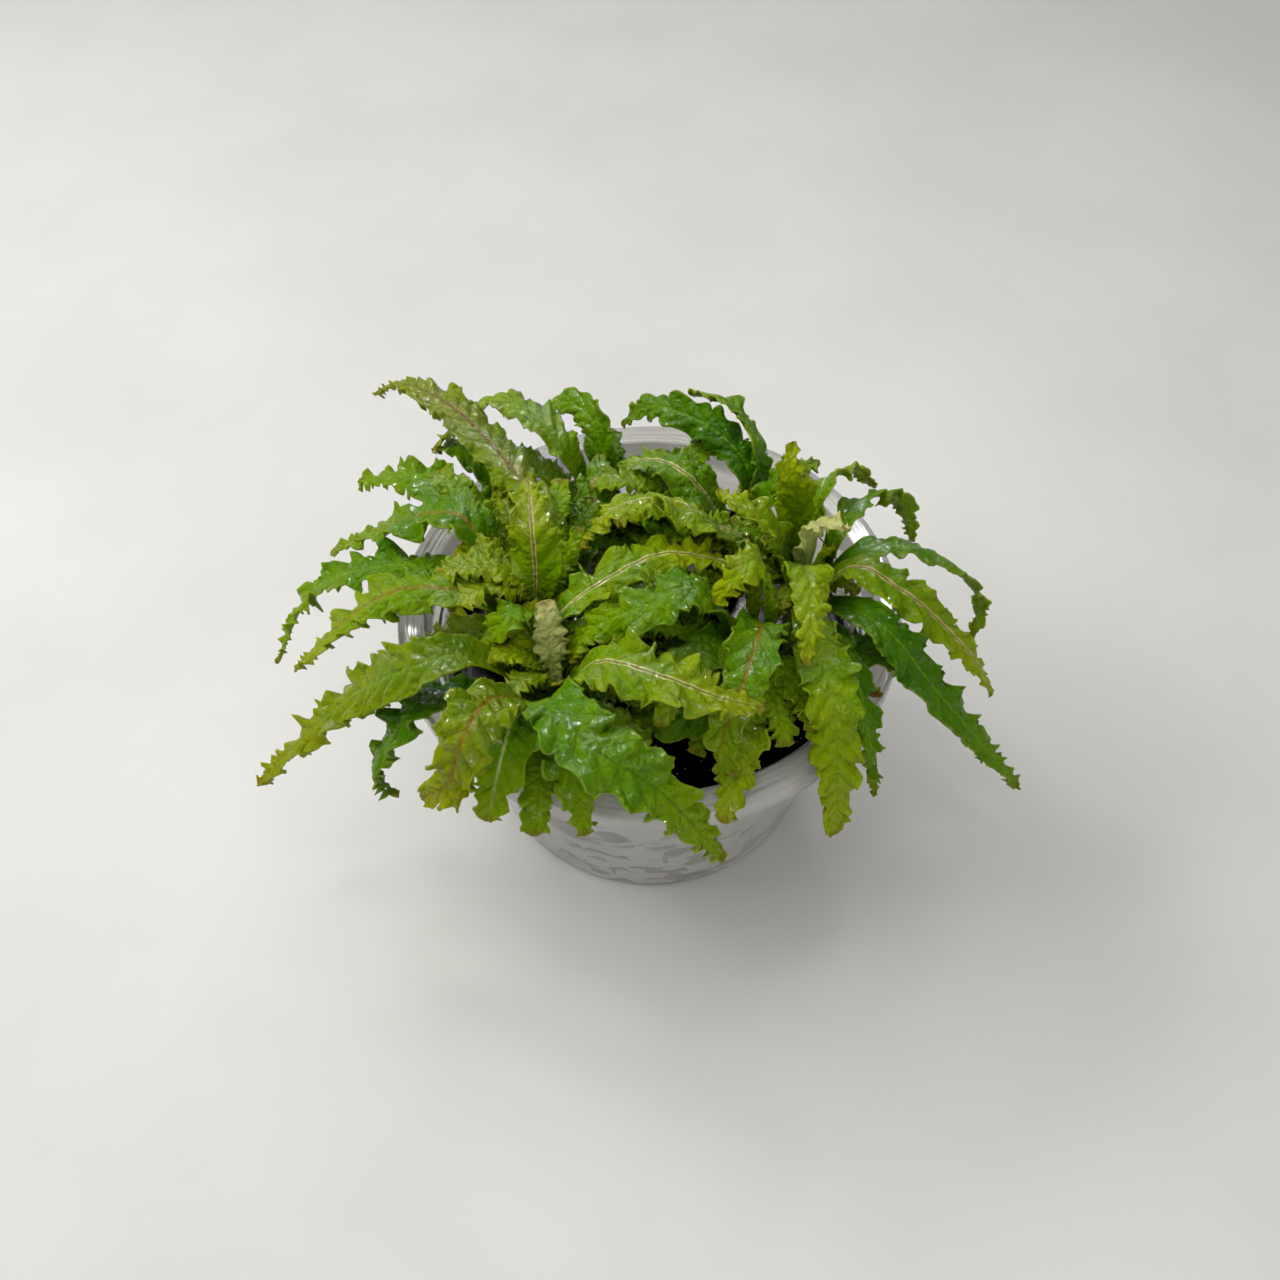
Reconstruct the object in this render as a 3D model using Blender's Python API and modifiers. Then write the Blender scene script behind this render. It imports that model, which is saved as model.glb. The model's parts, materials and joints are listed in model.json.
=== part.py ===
"""Downoi, a small water plant with crisped leaves, growing in a clear plastic cup.

Six short stems stand in black growing gel.  Ruffled leaves arch out of each stem
and hang over the rim of the cup.  Units are metres, +Z is up, and the origin is at
the centre of the cup's flat base.
"""

import math
import random
from dataclasses import dataclass

import bpy
import bmesh
from mathutils import Matrix, Vector
from mathutils.bvhtree import BVHTree

MM = 0.001
UP = Vector((0.0, 0.0, 1.0))

# Cup
CUP_HEIGHT = 57.0 * MM
CUP_BASE_RADIUS = 35.2 * MM
CUP_RIM_RADIUS = 50.5 * MM
CUP_WALL = 0.8 * MM
CUP_BASE_ROUNDING = 2.0 * MM
CUP_BASE_INSET = 1.4 * MM
CUP_SHOULDER_HEIGHT = 49.5 * MM
CUP_SHOULDER_RADIUS = 43.6 * MM
CUP_SHOULDER_RISE = 0.8 * MM
CUP_COLLAR_DRAFT = 0.3 * MM
CUP_MOUTH_RADIUS = 45.3 * MM
CUP_SKIRT_DEPTH = 4.7 * MM
CUP_STEPS = 56

# Growing medium
MEDIUM_TOP = 42.0 * MM
MEDIUM_MENISCUS = 1.2 * MM
MEDIUM_MENISCUS_WIDTH = 2.5 * MM
MEDIUM_STEPS = 48

# Touching pieces keep this gap
FIT_GAP = 0.3 * MM

# Stems: the places of their tops
STEM_TOPS = {
    "left": Vector((-21.0, -9.0, 66.0)) * MM,
    "front": Vector((-18.0, -23.0, 63.0)) * MM,
    "back": Vector((-7.0, 20.0, 62.0)) * MM,
    "right": Vector((30.0, 0.0, 67.0)) * MM,
    "right_front": Vector((20.0, -13.0, 64.0)) * MM,
    "right_back": Vector((18.0, 15.0, 63.0)) * MM,
}
STEM_FOOT_RADIUS = 3.0 * MM
STEM_TOP_RADIUS = 1.7 * MM
STEM_SIDES = 10
STEM_SMOOTH_ANGLE = math.radians(50.0)

# Leaves: lengths along the leaf are shares of its length, and the ruffle's sizes are
# shares of the half width
LEAF_FOOT_OFFSET = 3.5 * MM
LEAF_THICKNESS = 0.9 * MM
LEAF_TIP_THICKNESS = 0.45
LEAF_STALK_SHARE = 0.27
LEAF_STALK_WIDTH = 0.34
LEAF_WIDENING = (0.14, 0.46)
LEAF_NARROWING = (0.6, 1.02)
LEAF_TIP_WIDTH = 0.3
LEAF_ROLLED_FROM = 0.5
LEAF_RUFFLE = 0.38
LEAF_TOOTH_REACH = 0.15
LEAF_TOOTH_LEAN = 0.22
LEAF_IRREGULARITY = 0.25
LEAF_HALF_WAVE = 3.7 * MM
LEAF_FEWEST_HALF_WAVES = 7
LEAF_SPACING_SHRINK = 0.6
LEAF_LEVELLING = 0.15
STALK_SECTIONS = 3
MIDRIB_PARTS_PER_SPAN = 12

# Where a leaf would cross one that already lies there, it is moved as little as will do
SETTLE_STEP = 0.7 * MM
SETTLE_FOOT_STEPS = 6
SETTLE_DOWN_STEPS = 4
SETTLE_UP_STEPS = 14
SETTLE_TURN = math.radians(20.0)
SETTLE_TURNS = 4
FOOT_MOVE_COST = 0.3
TURN_COST = 0.4

COLOURS = {
    "clear": "D9DEDC",
    "gel": "0B0B0C",
    "stem": "6E8F1E",
    "olive": "82821A",
    "yellow": "8CA51F",
    "mid": "4F8A0F",
    "deep": "1F5A0A",
    "pale": "9EA65A",
}


@dataclass
class Leaf:
    """One leaf: its stem, tone, width and roll, and the points its midrib runs through.

    The points are in millimetres from the centre of the cup's base and start at the
    leaf's shoulder; the stalk is led to them from the stem at the height `foot`.
    """

    stem: str
    tone: str
    width: float
    roll: float
    foot: float
    path: tuple


# The leaves from the lowest layer to the uppermost one
LEAVES = (
    # Low leaves, mostly covered by the others
    Leaf("back", "deep", 9, 0, 54, ((-5, 10, 64), (-1, 2, 66), (1, -4, 62))),
    Leaf("back", "deep", 9, 0, 54, ((2, 22, 66), (9, 20, 68), (16, 24, 62))),
    Leaf("back", "deep", 9, 0, 55, ((-2, 13, 70), (4, 7, 72), (11, 5, 68))),
    Leaf("right_back", "mid", 9, 0, 54, ((12, 8, 68), (4, 8, 72), (-4, 12, 72))),
    Leaf("left", "deep", 9, 0, 54, ((-30, 24, 66), (-38, 33, 68), (-46, 39, 62))),
    Leaf("left", "deep", 9, 0, 54, ((-15, 3, 66), (-11, 13, 72), (-9, 26, 72))),
    Leaf("left", "mid", 10, 0, 55, ((-29, 9, 68), (-38, 14, 72), (-47, 22, 71), (-61, 30, 62))),
    Leaf(
        "front", "deep", 9, 0, 54,
        ((-29, -29, 66), (-40, -32, 70), (-47, -34, 62), (-53, -35, 50), (-49, -37, 44)),
    ),
    Leaf("front", "mid", 10, 0, 53, ((-17, -37, 65), (-14, -48, 68), (-12, -55, 60))),
    Leaf("right_front", "deep", 11, 0, 53, ((12, -27, 64), (5, -33, 64), (-4, -28, 58))),
    Leaf("right_front", "mid", 11, 0, 55, ((14, -20, 68), (7, -26, 71), (1, -37, 66))),
    Leaf("right_front", "yellow", 10, 0, 53, ((17, -28, 62), (15, -42, 65), (12, -53, 61))),
    Leaf("right_front", "mid", 9, 0, 54, ((22, -24, 60), (17, -33, 60))),
    Leaf("right_front", "mid", 9, 0, 54, ((33, -20, 70), (38, -32, 66), (42, -40, 46))),
    Leaf("right", "olive", 8, 0, 53, ((33, -21, 62), (38, -26, 63), (43, -27, 61))),
    Leaf("right", "deep", 8, 0, 53, ((35, -17, 63), (42, -20, 64), (49, -24, 61))),
    Leaf(
        "right_back", "deep", 8, 40, 54,
        ((21, 21, 68), (18, 26, 73), (11, 31, 76), (1, 38, 74), (-5, 41, 66)),
    ),
    Leaf("right_back", "mid", 7, -40, 54, ((23, 22, 70), (20, 29, 74), (16, 35, 75), (10, 44, 68))),
    Leaf("back", "mid", 7, 50, 54, ((-9, 26, 72), (-11, 31, 79), (-17, 37, 78), (-23, 41, 70))),
    Leaf("back", "yellow", 9, 0, 56, ((-17, 25, 76), (-28, 36, 78), (-37, 37, 74), (-45, 36, 64))),
    Leaf("right", "mid", 8, 30, 54, ((36, 0, 74), (41, 8, 76), (50, 14, 70), (55, 13, 58))),
    Leaf("right", "yellow", 7, 30, 56, ((32, 6, 76), (36, 13, 78), (42, 20, 72), (47, 21, 66))),
    Leaf("right_back", "mid", 7, 0, 57, ((24, 14, 72), (29, 16, 76), (35, 23, 72))),
    # Middle layer: the long leaves that hang over the rim
    Leaf("left", "mid", 10, 0, 55, ((-36, -5, 70), (-51, -1, 70), (-69, 4, 56), (-78, -3, 42))),
    Leaf("left", "mid", 11, 0, 58, ((-33, -1, 81), (-41, 4, 79), (-50, 9, 71), (-65, 13, 59))),
    Leaf("left", "yellow", 10, 0, 55, ((-28, -17, 68), (-38, -16, 67), (-45, -14, 62))),
    Leaf("left", "olive", 10, 0, 57, ((-29, -15, 76), (-43, -15, 80), (-57, -10, 66), (-72, -9, 48))),
    Leaf("front", "mid", 11, 0, 56, ((-30, -26, 74), (-41, -31, 78), (-58, -26, 60), (-78, -31, 40))),
    Leaf("front", "pale", 12, 0, 55, ((-24, -35, 68), (-26, -45, 71), (-29, -53, 62))),
    Leaf("front", "olive", 11, 0, 57, ((-27, -38, 78), (-31, -48, 82), (-35, -50, 70), (-41, -48, 62))),
    Leaf("front", "mid", 12, 0, 58, ((-17, -40, 80), (-10, -51, 82), (1, -55, 74), (12, -58, 56))),
    Leaf("right_front", "mid", 10, 0, 56, ((20, -22, 75), (16, -34, 75), (12, -42, 68), (14, -46, 62))),
    Leaf(
        "right", "yellow", 10, 0, 56,
        ((29, -14, 69), (30, -26, 75), (32, -37, 70), (33, -45, 57), (34, -46, 42)),
    ),
    Leaf("right", "deep", 9, 0, 57, ((36, -17, 74), (43, -24, 75), (53, -28, 62), (72, -34, 38))),
    Leaf(
        "right", "yellow", 8, 0, 58,
        ((37, -12, 77), (43, -16, 77), (50, -18, 72), (60, -21, 61), (66, -22, 50)),
    ),
    Leaf("right", "mid", 8, 25, 59, ((37, -7, 76), (44, -6, 79), (55, -4, 73), (65, -5, 61), (65, -7, 51))),
    Leaf("right_back", "mid", 9, 0, 56, ((10, 12, 76), (3, 17, 78), (-5, 25, 70))),
    # Upper layer: the young leaves and the ones that lie on top
    Leaf("left", "olive", 10, 0, 58, ((-21, 5, 78), (-36, 29, 80), (-50, 44, 76), (-58, 48, 70))),
    Leaf("left", "mid", 8, 0, 59, ((-23, -17, 76), (-26, -21, 78), (-31, -23, 72))),
    Leaf("front", "yellow", 11, 0, 60, ((-9, -33, 81), (1, -39, 85), (11, -41, 81), (19, -40, 76))),
    Leaf("right_front", "mid", 10, 0, 58, ((9, -18, 82), (-1, -22, 82), (-11, -22, 76), (-15, -23, 68))),
    Leaf(
        "left", "yellow", 9, 0, 60,
        ((-15, -17, 76), (-9, -14, 79), (2, -9, 81), (12, -9, 79), (18, -10, 77)),
    ),
    Leaf("right_back", "yellow", 10, 0, 58, ((12, -3, 82), (3, 0, 86), (-7, -1, 84), (-13, -3, 76))),
    Leaf("left", "yellow", 10, 0, 61, ((-21, -10, 77), (-21, -7, 86), (-22, 4, 88))),
    Leaf("left", "yellow", 7, 0, 60, ((-25, 1, 74), (-27, 8, 78), (-30, 15, 76))),
    Leaf("right", "olive", 8, 0, 62, ((28, 3, 80), (26, 3, 88), (27, 8, 92))),
    Leaf("right", "yellow", 8, 0, 60, ((28, -13, 81), (28, -24, 81), (27, -31, 75))),
    Leaf("right_front", "yellow", 8, 0, 60, ((21, -14, 80), (18, -17, 88), (14, -20, 86), (11, -20, 80))),
    Leaf("right", "yellow", 8, 0, 61, ((24, -3, 80), (18, -3, 86), (13, 2, 86))),
    Leaf("right", "pale", 7, 0, 64, ((30, -4, 82), (32, -9, 88), (35, -13, 91))),
)


def linear_channel(value):
    """Turn one sRGB channel from 0 to 1 into a linear one."""
    if value <= 0.04045:
        return value / 12.92
    return ((value + 0.055) / 1.055) ** 2.4


def make_material(name, colour_key, roughness, alpha=1.0):
    """Make a plain Principled material in one of the object's colours."""
    text = COLOURS[colour_key]
    channels = [int(text[i:i + 2], 16) / 255.0 for i in (0, 2, 4)]
    material = bpy.data.materials.new(name)
    material.use_nodes = True
    shader = material.node_tree.nodes["Principled BSDF"]
    shader.inputs["Base Color"].default_value = (*[linear_channel(c) for c in channels], 1.0)
    shader.inputs["Roughness"].default_value = roughness
    shader.inputs["Metallic"].default_value = 0.0
    shader.inputs["Alpha"].default_value = alpha
    return material


def add_object(name, mesh, collection, material):
    """Put a mesh in the collection as an object with its own material."""
    obj = bpy.data.objects.new(name, mesh)
    obj.data.materials.append(material)
    collection.objects.link(obj)
    return obj


def turned_piece(name, profile, steps, collection, material):
    """Turn a profile of (radius, height) points about the Z axis."""
    mesh = bpy.data.meshes.new(name)
    edges = [(i, i + 1) for i in range(len(profile) - 1)]
    mesh.from_pydata([(radius, 0.0, height) for radius, height in profile], edges, [])
    obj = add_object(name, mesh, collection, material)
    screw = obj.modifiers.new("turn", "SCREW")
    screw.axis = "Z"
    screw.steps = steps
    screw.render_steps = steps
    screw.use_merge_vertices = True
    screw.merge_threshold = 0.00001
    screw.use_smooth_shade = True
    return obj


def cup_outer_radius(height):
    """Give the outer radius of the cup's tapered wall at a height under the shoulder."""
    share = height / CUP_SHOULDER_HEIGHT
    return CUP_BASE_RADIUS + share * (CUP_SHOULDER_RADIUS - CUP_BASE_RADIUS)


def build_cup(collection):
    """Turn the clear cup: flat base, tapered wall, shoulder, flat flange and skirt."""
    wall = CUP_WALL
    half_wall = CUP_WALL / 2.0
    flange_under = CUP_HEIGHT - wall
    skirt_foot = CUP_HEIGHT - CUP_SKIRT_DEPTH
    side_foot_radius = cup_outer_radius(CUP_BASE_ROUNDING)
    collar_foot = CUP_SHOULDER_HEIGHT + CUP_SHOULDER_RISE
    collar_foot_radius = CUP_MOUTH_RADIUS - CUP_COLLAR_DRAFT
    base_edge_radius = CUP_BASE_RADIUS - CUP_BASE_INSET
    outside = [
        (CUP_MOUTH_RADIUS, CUP_HEIGHT),
        (CUP_RIM_RADIUS - wall, CUP_HEIGHT),
        (CUP_RIM_RADIUS, flange_under),
        (CUP_RIM_RADIUS, skirt_foot),
        (CUP_RIM_RADIUS - wall, skirt_foot),
        (CUP_RIM_RADIUS - wall, flange_under),
        (CUP_MOUTH_RADIUS, flange_under),
        (collar_foot_radius, collar_foot),
        (CUP_SHOULDER_RADIUS, CUP_SHOULDER_HEIGHT),
        (side_foot_radius, CUP_BASE_ROUNDING),
        (base_edge_radius, 0.0),
        (0.0, 0.0),
    ]
    inside = [
        (0.0, wall),
        (base_edge_radius - half_wall, wall),
        (side_foot_radius - wall, CUP_BASE_ROUNDING + half_wall),
        (CUP_SHOULDER_RADIUS - wall, CUP_SHOULDER_HEIGHT + half_wall),
        (collar_foot_radius - wall, collar_foot + half_wall),
        (CUP_MOUTH_RADIUS - wall, CUP_HEIGHT - half_wall),
        (CUP_MOUTH_RADIUS, CUP_HEIGHT),
    ]
    clear = make_material("clear_plastic", "clear", 0.08, alpha=0.35)
    return turned_piece("cup", outside + inside, CUP_STEPS, collection, clear)


def build_medium(collection):
    """Turn the black gel that fills the cup, a little drawn up where it meets the wall."""
    inset = CUP_WALL + FIT_GAP
    floor = CUP_WALL + FIT_GAP
    top_radius = cup_outer_radius(MEDIUM_TOP) - inset
    foot_radius = cup_outer_radius(CUP_BASE_ROUNDING) - inset - FIT_GAP
    profile = [
        (0.0, MEDIUM_TOP),
        (top_radius - MEDIUM_MENISCUS_WIDTH, MEDIUM_TOP),
        (top_radius, MEDIUM_TOP + MEDIUM_MENISCUS),
        (foot_radius, CUP_BASE_ROUNDING + CUP_WALL),
        (foot_radius - CUP_BASE_ROUNDING, floor),
        (0.0, floor),
    ]
    gel = make_material("black_gel", "gel", 0.15)
    return turned_piece("growing_medium", profile, MEDIUM_STEPS, collection, gel)


def build_stem(place, collection):
    """Stand one short tapered stem on the medium."""
    bottom = MEDIUM_TOP + FIT_GAP
    x, y, top = STEM_TOPS[place]
    bpy.ops.mesh.primitive_cone_add(
        vertices=STEM_SIDES,
        radius1=STEM_FOOT_RADIUS,
        radius2=STEM_TOP_RADIUS,
        depth=top - bottom,
        location=(x, y, (top + bottom) / 2.0),
    )
    stem = bpy.context.active_object
    stem.name = f"{place}_stem"
    stem.data.name = stem.name
    stem.data.materials.append(make_material(f"{place}_stem_tissue", "stem", 0.4))
    for holder in list(stem.users_collection):
        holder.objects.unlink(stem)
    collection.objects.link(stem)
    bpy.ops.object.shade_smooth_by_angle(angle=STEM_SMOOTH_ANGLE)
    return stem


def smooth_step(low, high, value):
    """Rise smoothly from 0 at low to 1 at high."""
    share = min(max((value - low) / (high - low), 0.0), 1.0)
    return share * share * (3.0 - 2.0 * share)


def curve_point(points, index, share):
    """Give a point on the smooth curve through the points, between index and index + 1."""
    first = points[max(index - 1, 0)]
    start = points[index]
    end = points[index + 1]
    last = points[min(index + 2, len(points) - 1)]
    square = share * share
    cube = square * share
    return 0.5 * (
        2.0 * start
        + (end - first) * share
        + (2.0 * first - 5.0 * start + 4.0 * end - last) * square
        + (3.0 * start - first - 3.0 * end + last) * cube
    )


def midrib_curve(leaf, foot_lift, foot_turn, path_lift):
    """Lead the midrib from the stem through the leaf's points, as a fine polyline.

    Args:
        leaf: The leaf.
        foot_lift: How far its foot is moved up the stem.
        foot_turn: How far its foot is moved round the stem.
        path_lift: How far the rest of it is moved up.
    """
    stem = STEM_TOPS[leaf.stem].xy.to_3d()
    points = [Vector(p) * MM + UP * path_lift for p in leaf.path]
    outward = (points[0] - stem).xy.to_3d().normalized()
    outward.rotate(Matrix.Rotation(foot_turn, 3, "Z"))
    points.insert(0, stem + outward * LEAF_FOOT_OFFSET + UP * (leaf.foot * MM + foot_lift))
    curve = []
    for index in range(len(points) - 1):
        for part in range(MIDRIB_PARTS_PER_SPAN):
            curve.append(curve_point(points, index, part / MIDRIB_PARTS_PER_SPAN))
    curve.append(points[-1])
    return curve


def curve_length(curve):
    """Add up the lengths of a polyline's spans."""
    return sum((b - a).length for a, b in zip(curve, curve[1:]))


def point_along(curve, distance):
    """Give the point and direction at a distance along a polyline."""
    for start, end in zip(curve, curve[1:]):
        span = (end - start).length
        if distance <= span:
            return start.lerp(end, distance / span), (end - start).normalized()
        distance -= span
    return curve[-1].copy(), (curve[-1] - curve[-2]).normalized()


def station_shares(length):
    """Place the cross-sections: few on the stalk, then one per half wave, closer to the tip."""
    blade = length * (1.0 - LEAF_STALK_SHARE)
    half_waves = max(LEAF_FEWEST_HALF_WAVES, round(blade / LEAF_HALF_WAVE))
    spans = [1.0 - LEAF_SPACING_SHRINK * i / half_waves for i in range(half_waves)]
    total = sum(spans)
    stalk_parts = STALK_SECTIONS - 1
    shares = [LEAF_STALK_SHARE * part / stalk_parts for part in range(STALK_SECTIONS)]
    reached = 0.0
    for span in spans[:-1]:
        reached += span
        shares.append(LEAF_STALK_SHARE + (1.0 - LEAF_STALK_SHARE) * reached / total)
    return shares


def half_width_at(share):
    """Give the blade's half width as a share of its greatest one."""
    widening = LEAF_STALK_WIDTH + (1.0 - LEAF_STALK_WIDTH) * smooth_step(*LEAF_WIDENING, share)
    narrowing = 1.0 - (1.0 - LEAF_TIP_WIDTH) * smooth_step(*LEAF_NARROWING, share)
    return widening * narrowing


def leaf_rings(leaf, seed, curve, margin=0.0):
    """Work out the leaf's cross-sections, each a flat diamond of four points.

    The edges swing up and down from one section to the next, and the raised ones
    reach out and lean forward as teeth.

    Args:
        leaf: The leaf.
        seed: What its irregularities are drawn from.
        curve: Its midrib.
        margin: Extra room on each side, for finding out what it would touch.
    """
    chance = random.Random(seed)
    length = curve_length(curve)
    shares = station_shares(length)
    half_width = leaf.width * MM / 2.0
    heading = curve[-1] - curve[0]
    side = Vector((heading.y, -heading.x, 0.0)).normalized()
    rings = []
    for index, share in enumerate(shares):
        middle, forward = point_along(curve, share * length)
        side = side - side.dot(forward) * forward
        level = forward.cross(UP)
        if level.dot(side) < 0.0:
            level.negate()
        side = (side + LEAF_LEVELLING * level).normalized()
        normal = side.cross(forward)
        turn = math.radians(leaf.roll) * smooth_step(0.0, LEAF_ROLLED_FROM, share)
        across = side * math.cos(turn) + normal * math.sin(turn)
        upward = normal * math.cos(turn) - side * math.sin(turn)
        width = half_width * half_width_at(share) + margin
        thinning = 1.0 - (1.0 - LEAF_TIP_THICKNESS) * share
        half_thickness = LEAF_THICKNESS * thinning / 2.0 + margin
        on_blade = index >= STALK_SECTIONS
        swing = 1.0 if index % 2 else -1.0
        edges = []
        for direction in (-1.0, 1.0):
            chosen = chance.uniform(1.0 - LEAF_IRREGULARITY, 1.0 + LEAF_IRREGULARITY)
            lively = chosen if on_blade else 0.0
            rise = swing * lively * LEAF_RUFFLE * width
            reach = width * (1.0 + swing * lively * LEAF_TOOTH_REACH)
            lean = swing * lively * LEAF_TOOTH_LEAN * width
            edges.append(middle + across * direction * reach + upward * rise + forward * lean)
        top = middle + upward * half_thickness
        bottom = middle - upward * half_thickness
        rings.append([edges[0], top, edges[1], bottom])
    rings.append([curve[-1]])
    return rings


def split_quad(points, corners):
    """Split a four-sided face along its shorter diagonal."""
    a, b, c, d = corners
    if (points[a] - points[c]).length <= (points[b] - points[d]).length:
        return [(a, b, c), (a, c, d)]
    return [(a, b, d), (b, c, d)]


def leaf_faces(points, ring_count):
    """List the triangles that join the rings, close the stalk's end and run to the tip."""
    faces = split_quad(points, (3, 2, 1, 0))
    for ring in range(ring_count - 2):
        start = ring * 4
        for corner in range(4):
            after = (corner + 1) % 4
            quad = (start + corner, start + after, start + 4 + after, start + 4 + corner)
            faces.extend(split_quad(points, quad))
    last = (ring_count - 2) * 4
    for corner in range(4):
        faces.append((last + corner, last + (corner + 1) % 4, last + 4))
    return faces


def leaf_solid(leaf, seed, move, margin=0.0):
    """Give the points and faces of a leaf after a move (foot lift, foot turn, path lift)."""
    rings = leaf_rings(leaf, seed, midrib_curve(leaf, *move), margin)
    points = [point for ring in rings for point in ring]
    return points, leaf_faces(points, len(rings))


def settling_moves():
    """List the moves that a leaf may make to lie clear, the smallest first."""
    moves = []
    for foot in range(-SETTLE_FOOT_STEPS, SETTLE_FOOT_STEPS + 1):
        for turn in range(-SETTLE_TURNS, SETTLE_TURNS + 1):
            for path in range(-SETTLE_DOWN_STEPS, SETTLE_UP_STEPS + 1):
                cost = FOOT_MOVE_COST * abs(foot) + TURN_COST * abs(turn) + abs(path)
                moves.append((cost, foot * SETTLE_STEP, turn * SETTLE_TURN, path * SETTLE_STEP))
    return [move[1:] for move in sorted(moves)]


def settled_move(leaf, seed, moves, obstacle):
    """Find the smallest move that leaves the leaf clear of everything there already."""
    for move in moves:
        points, faces = leaf_solid(leaf, seed, move, margin=FIT_GAP)
        if not BVHTree.FromPolygons(points, faces).overlap(obstacle):
            return move
    raise ValueError(f"{seed} finds no clear place")


def build_leaf(name, leaf, points, faces, collection):
    """Make one leaf from its points and faces."""
    mesh = bpy.data.meshes.new(name)
    mesh.from_pydata(points, [], faces)
    work = bmesh.new()
    work.from_mesh(mesh)
    bmesh.ops.recalc_face_normals(work, faces=work.faces)
    work.to_mesh(mesh)
    work.free()
    return add_object(name, mesh, collection, make_material(f"{name}_tissue", leaf.tone, 0.35))


def object_polygons(obj):
    """Give a finished object's points and faces, with its modifiers applied."""
    finished = obj.evaluated_get(bpy.context.evaluated_depsgraph_get())
    mesh = finished.to_mesh()
    points = [obj.matrix_world @ vertex.co for vertex in mesh.vertices]
    faces = [tuple(polygon.vertices) for polygon in mesh.polygons]
    finished.to_mesh_clear()
    return points, faces


def build_leaves(collection, neighbours):
    """Lay the leaves from the lowest up, each one clear of those before it.

    Args:
        collection: Where the leaves go.
        neighbours: The pieces that are already there.
    """
    all_points = []
    all_faces = []

    def occupy(points, faces):
        """Add a solid to what the next leaves must lie clear of."""
        start = len(all_points)
        all_points.extend(points)
        all_faces.extend(tuple(start + corner for corner in face) for face in faces)

    for neighbour in neighbours:
        occupy(*object_polygons(neighbour))
    moves = settling_moves()
    counts = dict.fromkeys(STEM_TOPS, 0)
    for leaf in LEAVES:
        counts[leaf.stem] += 1
        name = f"{leaf.stem}_leaf_{counts[leaf.stem]:02d}"
        move = settled_move(leaf, name, moves, BVHTree.FromPolygons(all_points, all_faces))
        points, faces = leaf_solid(leaf, name, move)
        build_leaf(name, leaf, points, faces, collection)
        occupy(points, faces)


def main():
    """Build the cup, the medium, the leaves and the stems."""
    for obj in list(bpy.data.objects):
        bpy.data.objects.remove(obj, do_unlink=True)
    collection = bpy.data.collections.new("downoi_in_cup")
    bpy.context.scene.collection.children.link(collection)
    cup = build_cup(collection)
    medium = build_medium(collection)
    stems = [build_stem(place, collection) for place in STEM_TOPS]
    bpy.context.view_layer.update()
    build_leaves(collection, [cup, medium, *stems])


main()
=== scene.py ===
"""Downoi in a clear culture cup: crisped wet leaves on short crown stems, in black gel."""

import itertools
import json
import logging
import math
import random
from dataclasses import dataclass
from enum import Enum

import bmesh
import bpy
import numpy as np
from mathutils import Matrix, Vector, noise


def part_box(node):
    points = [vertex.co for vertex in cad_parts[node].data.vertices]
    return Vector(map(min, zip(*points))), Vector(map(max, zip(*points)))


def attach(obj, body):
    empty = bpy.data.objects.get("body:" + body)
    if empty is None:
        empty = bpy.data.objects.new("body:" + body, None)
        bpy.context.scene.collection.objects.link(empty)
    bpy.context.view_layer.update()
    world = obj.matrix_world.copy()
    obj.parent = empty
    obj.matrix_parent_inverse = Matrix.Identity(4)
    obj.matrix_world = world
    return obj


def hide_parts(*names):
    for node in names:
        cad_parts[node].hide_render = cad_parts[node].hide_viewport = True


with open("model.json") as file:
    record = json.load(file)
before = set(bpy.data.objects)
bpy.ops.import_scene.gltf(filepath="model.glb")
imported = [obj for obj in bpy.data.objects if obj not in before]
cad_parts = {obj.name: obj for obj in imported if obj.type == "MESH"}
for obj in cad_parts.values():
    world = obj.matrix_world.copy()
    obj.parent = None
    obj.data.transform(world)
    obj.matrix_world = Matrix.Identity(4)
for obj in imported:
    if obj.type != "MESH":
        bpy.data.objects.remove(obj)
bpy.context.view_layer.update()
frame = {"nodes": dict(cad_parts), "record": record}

Piece = bpy.types.Object
Material = bpy.types.Material
Socket = bpy.types.NodeSocket
MM = 0.001
PER_MM = 1000.0
BODY = "root"
MERGE_DISTANCE = 0.01 * MM
SHARP_MARGIN = math.radians(115.0)
SMOOTH_ANGLE = math.radians(50.0)
STALK_SHARE = 0.27
STATION_SHRINK = 0.6
TOOTH_CREST = 0.64
TOOTH_NEAR_POWER = 1.25
TOOTH_FAR_POWER = 1.6
FINE_STEPS = 40
SEARCH_STEPS = 30
log = logging.getLogger("downoi")


def srgb(hex_text: str) -> tuple[float, float, float, float]:
    """Turn an sRGB hex colour into a linear one.

    Args:
        hex_text: Six hex digits.

    Returns:
        Red, green, blue and alpha.
    """
    channels = []
    for start in (0, 2, 4):
        value = int(hex_text[start:start + 2], 16) / 255.0
        channels.append(value / 12.92 if value <= 0.04045 else ((value + 0.055) / 1.055) ** 2.4)
    return (*channels, 1.0)


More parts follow.
